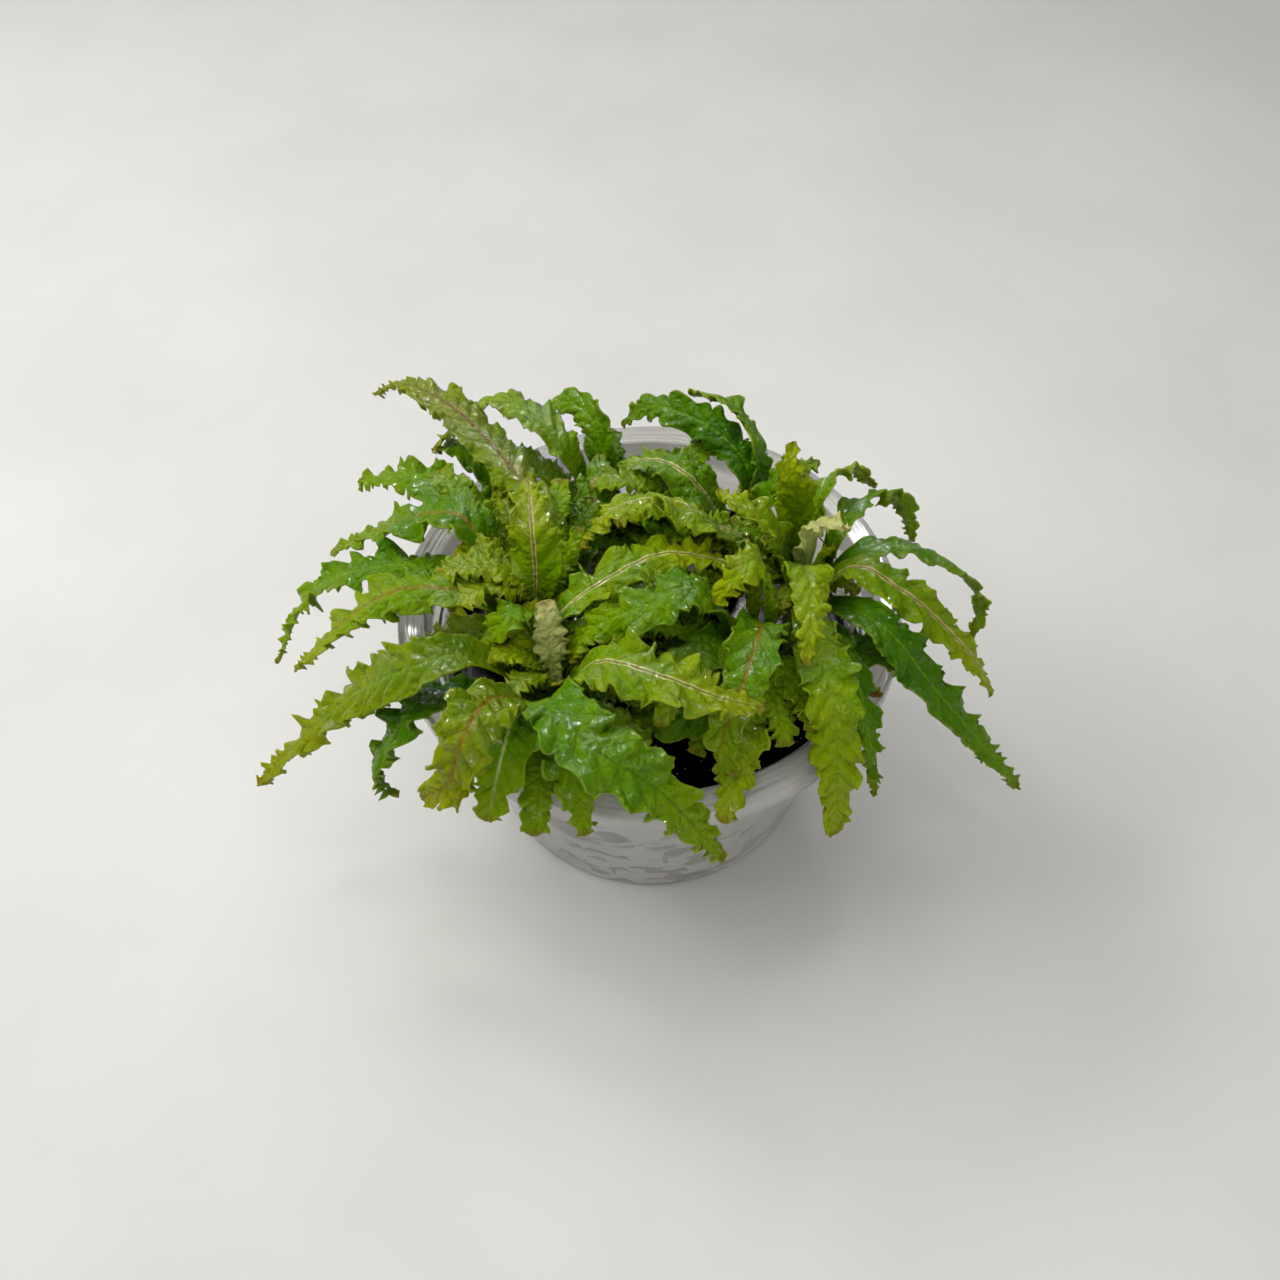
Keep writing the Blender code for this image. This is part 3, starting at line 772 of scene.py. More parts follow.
    def surface(self, along: np.ndarray, across: np.ndarray) -> tuple[np.ndarray, dict]:
        """Lay points on the leaf's crisped surface.

        Args:
            along: Their places along the leaf, counted in cross-sections.
            across: Their places across it, from -1 at the left margin to 1 at the right.

        Returns:
            The points, and for each its measures that the finish reads.
        """
        chance = random.Random(self.node)
        forward, sideways, upward = self.directions(along)
        out = np.abs(across)
        past_last = np.clip(along - (self.count - 1.0), 0.0, 1.0)
        taper = np.sqrt(np.clip(1.0 - past_last ** 2.0, 0.0, 1.0))
        blade = smooth_step(self.stalk_rings - 1.0, self.stalk_rings + self.BLADE_STEP, along)
        swings = [np.zeros_like(along)] * 4
        for side, margin in self.margins.items():
            here = across < 0.0 if side < 0.0 else across >= 0.0
            there = self.swings(chance, margin, along, out, taper, blade)
            swings = [np.where(here, new, old) for new, old in zip(there, swings)]
        width, rise, reach, lean = swings
        vein = 2.0 * (along + self.vein_slant * (1.0 - out))
        aside = out * width
        full_width = self.dome_full_width_mm * MM
        dome = self.dome_mm * MM * blade * taper * np.cos(math.pi * vein)
        dome = dome * (4.0 * out * (1.0 - out)) ** self.DOME_POWER
        dome = dome * np.clip(width / full_width, *self.DOME_LIMITS)
        groove = np.exp(-((aside / (self.groove_width_mm * MM)) ** 2)) * taper
        channel = self.channel_depth * width * out ** self.CHANNEL_POWER * (1.0 - blade)
        height = rise + dome + channel - self.groove_mm * MM * groove
        points = (
            smooth_curve(self.centre, along)
            + sideways * (np.sign(across) * (aside + reach))[:, None]
            + forward * lean[:, None]
            + upward * height[:, None]
        )
        inset = (width - aside) * PER_MM
        return points, {"aside_mm": aside * PER_MM, "inset_mm": inset, "vein": vein}

    def swings(
        self,
        chance: random.Random,
        margin: dict[str, np.ndarray],
        along: np.ndarray,
        out: np.ndarray,
        taper: np.ndarray,
        blade: np.ndarray,
    ) -> tuple[np.ndarray, ...]:
        """Swing one side of the leaf out to its crisped margin.

        Args:
            chance: Where its irregularity is drawn from.
            margin: The side's margin, measured on each cross-section.
            along: The points' places along the leaf, counted in cross-sections.
            out: Their places from the midrib, 0, to the margin, 1.
            taper: How wide the leaf still is there, from 1 down to 0 at the tip.
            blade: 0 on the stalk and 1 on the blade.

        Returns:
            The half width, the rise, the reach outwards and the lean forward.
        """
        near_edge = smooth_step(self.EDGE_START, 1.0, out)
        place = along + self.place_wander * wander(chance, self.count, along)
        strength = 1.0 + self.strength_wander * wander(chance, self.count, along)
        cup = self.cupping + self.cup_wander * wander(chance, self.count, along)
        turn = chance.uniform(0.0, math.tau)
        fine_turn = chance.uniform(0.0, math.tau)
        at_margin = {
            key: np.interp(along, range(self.count + 1), values) for key, values in margin.items()
        }
        half_width = at_margin["width"] * taper * (1.0 - (1.0 - self.slimness) * blade)
        swing = -np.cos(math.pi * place)
        tooth = self.tooth(place, swing)
        fine_place = self.fine_teeth * place
        fine_place = fine_place + self.fine_wander * wander(chance, self.count, along)
        fine_tooth = self.tooth(fine_place, -np.cos(math.pi * fine_place))
        fine_strength = self.fine_strength_wander * wander(chance, self.count, along)
        small = blade * taper * (self.fine_weakest + fine_strength)
        amount = {key: at_margin[key] * strength * taper for key in ("reach", "rise", "lean")}
        ripple = near_edge * np.cos(math.pi * fine_place + turn)
        second = np.cos(self.SECOND_RIPPLE_RATE * math.pi * fine_place + fine_turn)
        ripple += self.SECOND_RIPPLE * near_edge ** 2 * second
        rise = amount["rise"] * self.crisping * swing * out ** self.RISE_POWER
        rise += self.frill_mm * MM * small * ripple
        rise += cup * half_width * blade * out ** 2
        reach = self.reach_share * amount["reach"] * out ** 3 * tooth
        reach += self.tooth_mm * MM * small * near_edge * out ** 2 * fine_tooth
        lean = self.lean_share * amount["lean"] * out ** 2 * tooth
        return half_width, rise, reach, lean

    def tooth(self, place: np.ndarray, swing: np.ndarray) -> np.ndarray:
        """Mix hooked teeth with round waves, as round as the leaf's margin is."""
        return (1.0 - self.roundness) * hooked_tooth(place) + self.roundness * swing

    def give_thickness(
        self, piece: Piece, along: np.ndarray, across: np.ndarray, aside_mm: np.ndarray
    ) -> None:
        """Thicken the sheet: fleshy along the stalk and midrib, thin at the margin.

        Args:
            piece: The leaf's sheet.
            along: The points' places along the leaf, counted in cross-sections.
            across: Their places across it.
            aside_mm: Their distances from the midrib.
        """
        on_stalk = 1.0 - smooth_step(0.0, self.stalk_rings + 1.0, along)
        ridge = np.exp(-((aside_mm / self.rib_width_mm) ** 2))
        taper = 1.0 - self.tip_thinning * along / self.count
        stalk = self.stalk_flesh * on_stalk * (1.0 - across ** 2)
        flesh = (stalk + self.rib_flesh * ridge) * taper
        group = piece.vertex_groups.new(name="flesh")
        for index, weight in enumerate(np.clip(flesh, 0.0, 1.0).tolist()):
            group.add([index], weight, "REPLACE")
        settings = {
            "thickness": self.flesh_mm * MM,
            "offset": 0.0,
            "vertex_group": "flesh",
            "thickness_vertex_group": self.margin_flesh_mm / self.flesh_mm,
            "material_offset": 1,
            "material_offset_rim": 0,
            "use_quality_normals": True,
        }
        apply_modifier(piece, "thickness", "SOLIDIFY", settings)
        piece.vertex_groups.clear()
        select_only(piece)
        bpy.ops.object.shade_smooth()


@dataclass
class YoungLeaf(Leaf):
    """A small frilled leaf deep in a crown, grown from its stem's top without a solid.

    Angles are in degrees: heading from the right towards the back, lift over the level
    at the foot, and curl down towards the tip.
    """

    crown: str = "left_stem"
    heading: float = 0.0
    lift: float = 60.0
    curl: float = 60.0
    length_mm: float = 18.0
    half_width_mm: float = 2.8
    foot_drop_mm: float = 5.0
    foot_offset_mm: float = 1.6
    section_mm: float = 2.1
    fewest_sections: int = 7
    stalk_share: float = 0.3
    youth: float = 0.3
    slimness: float = 1.0
    across_parts: int = 18

    CURL_POWER = 1.5
    BLADE_REACH = (0.6, 1.9)
    STALK_WIDTH = 0.3
    TIP_NARROWING = 0.45
    SWING_SHARES = {"reach": 0.2, "rise": 0.42, "lean": 0.22}

    def read_rings(self) -> None:
        """Lay out the midrib from the crown and the margin along it."""
        low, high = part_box(self.crown)
        foot = (low + high) / 2.0
        self.count = max(self.fewest_sections, round(self.length_mm / self.section_mm) + 2)
        share = np.linspace(0.0, 1.0, self.count + 1)
        pitch = np.radians(self.lift - self.curl * share ** self.CURL_POWER)[:, None]
        yaw = math.radians(self.heading)
        level = np.array((math.cos(yaw), math.sin(yaw), 0.0))
        up = np.array((0.0, 0.0, 1.0))
        forward = level * np.cos(pitch) + up * np.sin(pitch)
        self.upward = up * np.cos(pitch) - level * np.sin(pitch)
        start = np.array((foot.x, foot.y, high.z - self.foot_drop_mm * MM))
        start = start + level * self.foot_offset_mm * MM
        steps = (forward[:-1] + forward[1:]) / 2.0 * self.length_mm * MM / self.count
        self.centre = start + np.concatenate((np.zeros((1, 3)), np.cumsum(steps, axis=0)))
        self.measure_midrib()
        blade_start, blade_end = (self.stalk_share * part for part in self.BLADE_REACH)
        blade = smooth_step(blade_start, blade_end, share)
        width = self.half_width_mm * MM * (self.STALK_WIDTH + (1.0 - self.STALK_WIDTH) * blade)
        width = width * (1.0 - self.TIP_NARROWING * share ** 2)
        margin = {key: part * width * blade for key, part in self.SWING_SHARES.items()}
        margin["width"] = width
        self.margins = {-1.0: margin, 1.0: margin}


tissues: dict[tuple, Material] = {}


def tissue(tone: Tone, midrib: Midrib, underside: bool) -> Material:
    """Give the leaf tissue of a tone, made when it is first asked for."""
    key = (tone, midrib, underside)
    if key not in tissues:
        tissues[key] = LeafTissue(*key).build()
    return tissues[key]


def walk(links: dict[int, set[int]], start: int) -> list[int]:
    """Follow links from a start until they end."""
    path = [start]
    while onward := links[path[-1]] - set(path):
        path.append(min(onward))
    return path


def linked(edges: list[bmesh.types.BMEdge]) -> dict[int, set[int]]:
    """List, for each vertex of some edges, the vertices at their other ends."""
    links: dict[int, set[int]] = {}
    for edge in edges:
        first, second = (vertex.index for vertex in edge.verts)
        links.setdefault(first, set()).add(second)
        links.setdefault(second, set()).add(first)
    return links


def merged_solid(node: Piece) -> bmesh.types.BMesh:
    """Copy a CAD node's mesh and merge its loose triangles."""
    work = bmesh.new()
    work.from_mesh(node.data)
    bmesh.ops.remove_doubles(work, verts=work.verts, dist=MERGE_DISTANCE)
    work.verts.index_update()
    return work


def lines_by_levels(work: bmesh.types.BMesh) -> list[list[int]] | None:
    """Read a leaf's four lines step by step from its tip, if every step has four points.

    Args:
        work: The leaf's merged solid.

    Returns:
        The first margin, a rib, the other margin and the other rib, each from the foot
        on, with the tip as the last point of each; or None.
    """
    links = linked(list(work.edges))
    points = np.array([vertex.co for vertex in work.verts])
    for tip in range(len(points)):
        levels = [{tip}]
        seen = {tip}
        while levels[-1]:
            levels.append(set().union(*(links[corner] for corner in levels[-1])) - seen)
            seen |= levels[-1]
        rings = [sorted(level) for level in levels[-2:0:-1]]
        if len(rings) > 2 and all(len(ring) == 4 for ring in rings):
            rings = [[ring[corner] for corner in corner_order(points[ring])] for ring in rings]
            for before, ring in zip(rings, rings[1:]):
                across = points[before[2]] - points[before[0]]
                if (points[ring[2]] - points[ring[0]]) @ across < 0.0:
                    ring[0], ring[2] = ring[2], ring[0]
                upward = points[before[1]] - points[before[3]]
                if (points[ring[1]] - points[ring[3]]) @ upward < 0.0:
                    ring[1], ring[3] = ring[3], ring[1]
            return [[ring[corner] for ring in rings] + [tip] for corner in range(4)]
    return None


def lines_by_edges(work: bmesh.types.BMesh) -> list[list[int]]:
    """Read a leaf's four lines from its sharp margins and the ribs between them.

    Args:
        work: The leaf's merged solid.

    Returns:
        The same as `lines_by_levels`.
    """
    points = np.array([vertex.co for vertex in work.verts])
    sharp = [edge for edge in work.edges if edge.calc_face_angle(0.0) > SHARP_MARGIN]
    margin_links = linked(sharp)
    rib_links = linked(
        [edge for edge in work.edges if not any(v.index in margin_links for v in edge.verts)]
    )
    round_margin = walk(margin_links, min(v for v, ends in margin_links.items() if len(ends) == 1))
    foot = (points[round_margin[0]] + points[round_margin[-1]]) / 2.0
    by_foot = sorted(rib_links, key=lambda vertex: np.linalg.norm(points[vertex] - foot))
    first, second = by_foot[:2]
    rib_links[first].discard(second)
    rib_links[second].discard(first)
    half = len(round_margin) // 2
    tip = [round_margin[half]]
    first_rib, second_rib = (walk(rib_links, start) + tip for start in (first, second))
    return [round_margin[:half] + tip, first_rib, round_margin[:half:-1] + tip, second_rib]


def corner_order(ring: np.ndarray) -> list[int]:
    """Order a flat diamond's corners: one margin, a rib, the other margin, the other rib."""
    splits = ((0, 1, 2, 3), (0, 2, 1, 3), (0, 3, 1, 2), (2, 3, 0, 1), (1, 3, 0, 2), (1, 2, 0, 3))
    widest = max(splits, key=lambda split: np.linalg.norm(ring[split[0]] - ring[split[1]]))
    return [widest[0], widest[2], widest[1], widest[3]]


def solid_lines(node: Piece) -> list[np.ndarray]:
    """Find the lines that run along a leaf's CAD solid to its tip.

    Args:
        node: The CAD node.

    Returns:
        The points of a margin, a rib, the other margin and the other rib.
    """
    work = merged_solid(node)
    points = np.array([vertex.co for vertex in work.verts])
    lines = lines_by_levels(work) or lines_by_edges(work)
    work.free()
    return [points[line] for line in lines]


def station_shares(count: int, stalk_rings: int) -> np.ndarray:
    """Place the solid's cross-sections along it: few on the stalk, closer towards the tip.

    Args:
        count: How many there are.
        stalk_rings: How many of them are on the stalk.

    Returns:
        Their places and the tip's, as shares of the leaf's length.
    """
    spans = 1.0 - STATION_SHRINK * np.arange(count - stalk_rings + 1) / (count - stalk_rings + 1)
    blade = STALK_SHARE + (1.0 - STALK_SHARE) * np.cumsum(spans)[:-1] / spans.sum()
    return np.concatenate((np.linspace(0.0, STALK_SHARE, stalk_rings), blade, (1.0,)))


def share_along(line: np.ndarray, core: np.ndarray) -> np.ndarray:
    """Tell how far along a leaf the points of a line are.

    Args:
        line: The line's points.
        core: The points of the line that the distance is measured on.

    Returns:
        Shares of the leaf's length.
    """
    reached = lengths_along(core)
    fine = np.linspace(0.0, len(core) - 1, SEARCH_STEPS * len(core))
    places = np.stack([np.interp(fine, range(len(core)), core[:, axis]) for axis in range(3)], 1)
    nearest = [int(np.argmin(np.linalg.norm(places - point, axis=1))) for point in line]
    return np.interp(fine[nearest], range(len(core)), reached) / reached[-1]


def fill_stations(line: np.ndarray, found: np.ndarray, wanted: np.ndarray) -> np.ndarray:
    """Give a line a point at every cross-section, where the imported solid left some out.

    Args:
        line: The points that it has.
        found: How far along the leaf they are.
        wanted: How far along the cross-sections are.

    Returns:
        One point for each cross-section.
    """
    missing = len(wanted) - len(line)
    if missing <= 0:
        return line
    inner = range(1, len(wanted) - 1)
    kept_best = min(
        (np.delete(wanted, left_out) for left_out in itertools.combinations(inner, missing)),
        key=lambda kept: np.abs(kept - found).sum(),
    )
    return np.stack([np.interp(wanted, kept_best, line[:, axis]) for axis in range(3)], axis=1)


def smooth_curve(values: np.ndarray, places: np.ndarray) -> np.ndarray:
    """Run a smooth curve through rows of values.

    Args:
        values: The rows.
        places: Where it is read, counted in rows.

    Returns:
        One row for each place.
    """
    last = len(values) - 1
    index = np.clip(np.floor(places).astype(int), 0, last - 1)
    share = (places - index)[:, None]
    before = values[np.maximum(index - 1, 0)]
    start = values[index]
    end = values[index + 1]
    after = values[np.minimum(index + 2, last)]
    return 0.5 * (
        2.0 * start
        + (end - before) * share
        + (2.0 * before - 5.0 * start + 4.0 * end - after) * share ** 2
        + (3.0 * start - before - 3.0 * end + after) * share ** 3
    )


def lengths_along(line: np.ndarray) -> np.ndarray:
    """Give the length that each point of a line has behind it."""
    return np.concatenate(([0.0], np.cumsum(np.linalg.norm(np.diff(line, axis=0), axis=1))))


def row_dots(first: np.ndarray, second: np.ndarray) -> np.ndarray:
    """Multiply rows of vectors with each other, into one number a row."""
    return np.einsum("ij,ij->i", first, second)


def unit(vectors: np.ndarray) -> np.ndarray:
    """Give each row the length 1."""
    return vectors / np.linalg.norm(vectors, axis=1)[:, None]


def extended(values: np.ndarray, share: float) -> np.ndarray:
    """Carry a row of values on to the tip, at a share of the last one."""
    return np.append(values, values[-1] * share)


def smooth_step(low: float, high: float, value: np.ndarray) -> np.ndarray:
    """Rise smoothly from 0 at low to 1 at high."""
    share = np.clip((value - low) / (high - low), 0.0, 1.0)
    return share * share * (3.0 - 2.0 * share)


def wander(chance: random.Random, count: int, places: np.ndarray) -> np.ndarray:
    """Wander smoothly between -1 and 1, drawn anew at each cross-section.

    Args:
        chance: Where it is drawn from.
        count: How many cross-sections there are.
        places: Where it is read, counted in cross-sections.

    Returns:
        One value for each place.
    """
    drawn = np.array([[chance.uniform(-1.0, 1.0)] for _ in range(count + 2)])
    return smooth_curve(drawn, places)[:, 0]


def hooked_tooth(places: np.ndarray) -> np.ndarray:
    """Give a tooth that hooks forward in each pair of cross-sections.

    Its near side is long and nearly straight, its far side short and hollow.

    Args:
        places: Places counted in cross-sections.

    Returns:
        From -1 in the hollows to 1 at the points.
    """
    share = (places / 2.0) % 1.0
    near_side = np.clip(share / TOOTH_CREST, 0.0, 1.0) ** TOOTH_NEAR_POWER
    far_side = np.clip((1.0 - share) / (1.0 - TOOTH_CREST), 0.0, 1.0) ** TOOTH_FAR_POWER
    return 2.0 * np.minimum(near_side, far_side) - 1.0


@dataclass
class CultureCup:
    """The clear round cup, with its sizes in millimetres."""

    node: str = "cup"
    height: float = 57.0
    base_radius: float = 35.2
    base_inset: float = 1.4
    base_rounding: float = 2.0
    rounding_share: float = 0.35
    rim_radius: float = 50.5
    mouth_radius: float = 45.3
    lip: float = 0.1
    wall: float = 0.8
    skirt_depth: float = 4.7
    shoulder_height: float = 49.5
    shoulder_radius: float = 43.6
    shoulder_rise: float = 0.8
    collar_draft: float = 0.3
    bead_height: float = 0.18
    bead_places: tuple[float, ...] = (0.24, 0.5, 0.8)
    bead_half_width: float = 0.35
    outer_corner: tuple[float, float] = (0.5, 0.3)
    inner_corner: tuple[float, float] = (0.6, 0.4)
    edge_rounding: float = 0.16
    edge_angle: float = math.radians(40.0)
    gel_top: float = 42.0
    sides: int = 168
    wall_rings: int = 11

    def build(self) -> Piece:
        """Model and dress the cup.

        Returns:
            The finished piece.
        """
        profile = [(radius * MM, height * MM) for radius, height in self.profile()]
        piece = turned_shell("clear_cup", profile, (0.0, 0.0), self.sides)
        rounding = {
            "width": self.edge_rounding * MM,
            "segments": 2,
            "limit_method": "ANGLE",
            "angle_limit": self.edge_angle,
        }
        apply_modifier(piece, "rounding", "BEVEL", rounding)
        bpy.ops.object.shade_smooth_by_angle(angle=SMOOTH_ANGLE)
        plastic = ClearPlastic(self.gel_top * MM, self.shoulder_height * MM)
        piece.data.materials.append(plastic.build())
        hand_over(piece, self.node, "clear_plastic")
        return piece

    def profile(self) -> list[tuple[float, float]]:
        """List the rings from the foot up the outside, over the rim and down the inside.

        Returns:
            Radius and height of each ring.
        """
        side = (self.shoulder_radius - self.base_radius) / self.shoulder_height
        foot = self.base_radius + side * self.base_rounding
        base_edge = self.base_radius - self.base_inset
        under = self.height - self.wall
        between_beads = self.height - self.bead_height
        skirt = self.rim_radius - self.wall
        skirt_foot = self.height - self.skirt_depth
        collar_foot = self.shoulder_height + self.shoulder_rise
        collar = self.mouth_radius - self.collar_draft
        rings = [(base_edge, 0.0)]
        rings.append((foot - self.rounding_share, self.base_rounding * self.rounding_share))
        rings.append((foot, self.base_rounding))
        for part in range(1, self.wall_rings + 1):
            share = part / self.wall_rings
            height = self.base_rounding + share * (self.shoulder_height - self.base_rounding)
            rings.append((self.base_radius + side * height, height))
        rings += [
            (collar, collar_foot),
            (self.mouth_radius, under),
            (skirt, under),
            (skirt, skirt_foot),
            (self.rim_radius, skirt_foot),
            (self.rim_radius, under),
            self.corner(self.rim_radius, self.outer_corner),
            (skirt, between_beads),
        ]
        for place in reversed(self.bead_places):
            radius = self.mouth_radius + place * (skirt - self.mouth_radius)
            rings.append((radius + self.bead_half_width, between_beads))
            rings.append((radius, self.height))
            rings.append((radius - self.bead_half_width, between_beads))
        half_wall = self.wall / 2.0
        return rings + [
            (self.mouth_radius + self.lip, self.height),
            self.corner(self.mouth_radius, self.inner_corner),
            (collar - self.wall, collar_foot + half_wall),
            (self.shoulder_radius - self.wall, self.shoulder_height + half_wall),
            (foot - self.wall, self.base_rounding + half_wall),
            (base_edge - half_wall, self.wall),
        ]

    def corner(self, radius: float, shares: tuple[float, float]) -> tuple[float, float]:
        """Round the rim off at a radius, in and down by shares of the wall."""
        inward, down = shares
        return radius - self.wall * inward, self.height - self.wall * down


@dataclass
class GrowingMedium:
    """The black gel in the cup, with its sizes in millimetres."""

    node: str = "growing_medium"
    cup_base_radius: float = 35.2
    cup_shoulder_radius: float = 43.6
    cup_shoulder_height: float = 49.5
    inset: float = 1.1
    floor: float = 1.1
    foot_rounding: float = 2.0
    foot_gap: float = 0.2
    foot_bevel: tuple[float, float] = (0.5, 0.4)
    top: float = 42.0
    meniscus: float = 1.2
    meniscus_width: float = 2.5
    meniscus_rings: int = 4
    ring_step: float = 0.9
    lump_height: float = 0.4
    lump_size: float = 7.0
    grain_height: float = 0.18
    grain_size: float = 1.6
    sides: int = 176

    def build(self) -> Piece:
        """Model and dress the gel.

        Returns:
            The finished piece.
        """
        profile = [(radius * MM, height * MM) for radius, height in self.profile()]
        piece = turned_shell("black_gel_fill", profile, (0.0, 0.0), self.sides)
        points = points_of(piece)
        for index in np.nonzero(points[:, 2] > (self.top - 0.01) * MM)[0]:
            place = Vector(points[index] * PER_MM)
            lump = noise.noise(place / self.lump_size) * self.lump_height
            grain = noise.noise(place / self.grain_size) * self.grain_height
            points[index, 2] += (lump + grain) * MM * self.calm_at_wall(place.xy.length)
        place_points(piece, points)
        select_only(piece)
        bpy.ops.object.shade_smooth_by_angle(angle=SMOOTH_ANGLE)
        piece.data.materials.append(BlackGel().build())
        hand_over(piece, self.node, "black_gel")
        return piece

    def radius_at(self, height: float) -> float:
        """Give the gel's radius at a height."""
        side = (self.cup_shoulder_radius - self.cup_base_radius) / self.cup_shoulder_height
        return self.cup_base_radius + side * height - self.inset

    def calm_at_wall(self, radius: float) -> float:
        """Fade the lumps out towards the wall."""
        return min(1.0, max(0.0, (self.radius_at(self.top) - radius) / self.meniscus_width))

    def profile(self) -> list[tuple[float, float]]:
        """List the rings from the foot up the side and in over the top.

        Returns:
            Radius and height of each ring.
        """
        foot_height = self.foot_rounding + self.inset
        foot = self.radius_at(foot_height) - self.foot_gap
        inward, up = self.foot_bevel
        rings = [(foot - self.foot_rounding, self.floor), (foot - inward, self.floor + up)]
        rings.append((foot, foot_height))
        edge = self.radius_at(self.top)
        for part in range(self.meniscus_rings + 1):
            share = part / self.meniscus_rings
            height = self.top + self.meniscus * (1.0 - share) ** 2
            rings.append((edge - self.meniscus_width * share, height))
        radius = edge - self.meniscus_width - self.ring_step
        while radius > self.ring_step:
            rings.append((radius, self.top))
            radius -= self.ring_step
        return rings


@dataclass
class CrownStem:
    """One short crown stem, with rings where older leaves stood."""

    node: str
    sides: int = 28
    rings: int = 14
    scar_every: int = 3
    scar_mm: float = 0.22
    top_share: float = 0.57
    dome_height: float = 0.3
    dome_rings: tuple[tuple[float, float], ...] = ((0.75, 0.1), (0.35, 0.0))
    smooth_angle: float = math.radians(60.0)

    def build(self) -> Piece:
        """Model and dress the stem.

        Returns:
            The finished piece.
        """
        low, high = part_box(self.node)
        centre = (low + high) / 2.0
        foot = (high.x - low.x) / 2.0
        top = foot * self.top_share
        profile = []
        for ring in range(self.rings + 1):
            share = ring / self.rings
            radius = foot + (top - foot) * share
            if ring % self.scar_every == 1:
                radius += self.scar_mm * MM * (1.0 - share)
            shaft = high.z - low.z - top * self.dome_height
            profile.append((radius, low.z + share * shaft))
        profile += [(top * width, high.z - top * drop) for width, drop in self.dome_rings]
        name = self.node.replace("stem", "crown_stem")
        piece = turned_shell(name, profile, centre.xy, self.sides)
        bpy.ops.object.shade_smooth_by_angle(angle=self.smooth_angle)
        finish = bpy.data.materials.get("moist_stem_tissue") or StemTissue().build()
        piece.data.materials.append(finish)
        hand_over(piece, self.node, "stem_tissue")
        return piece


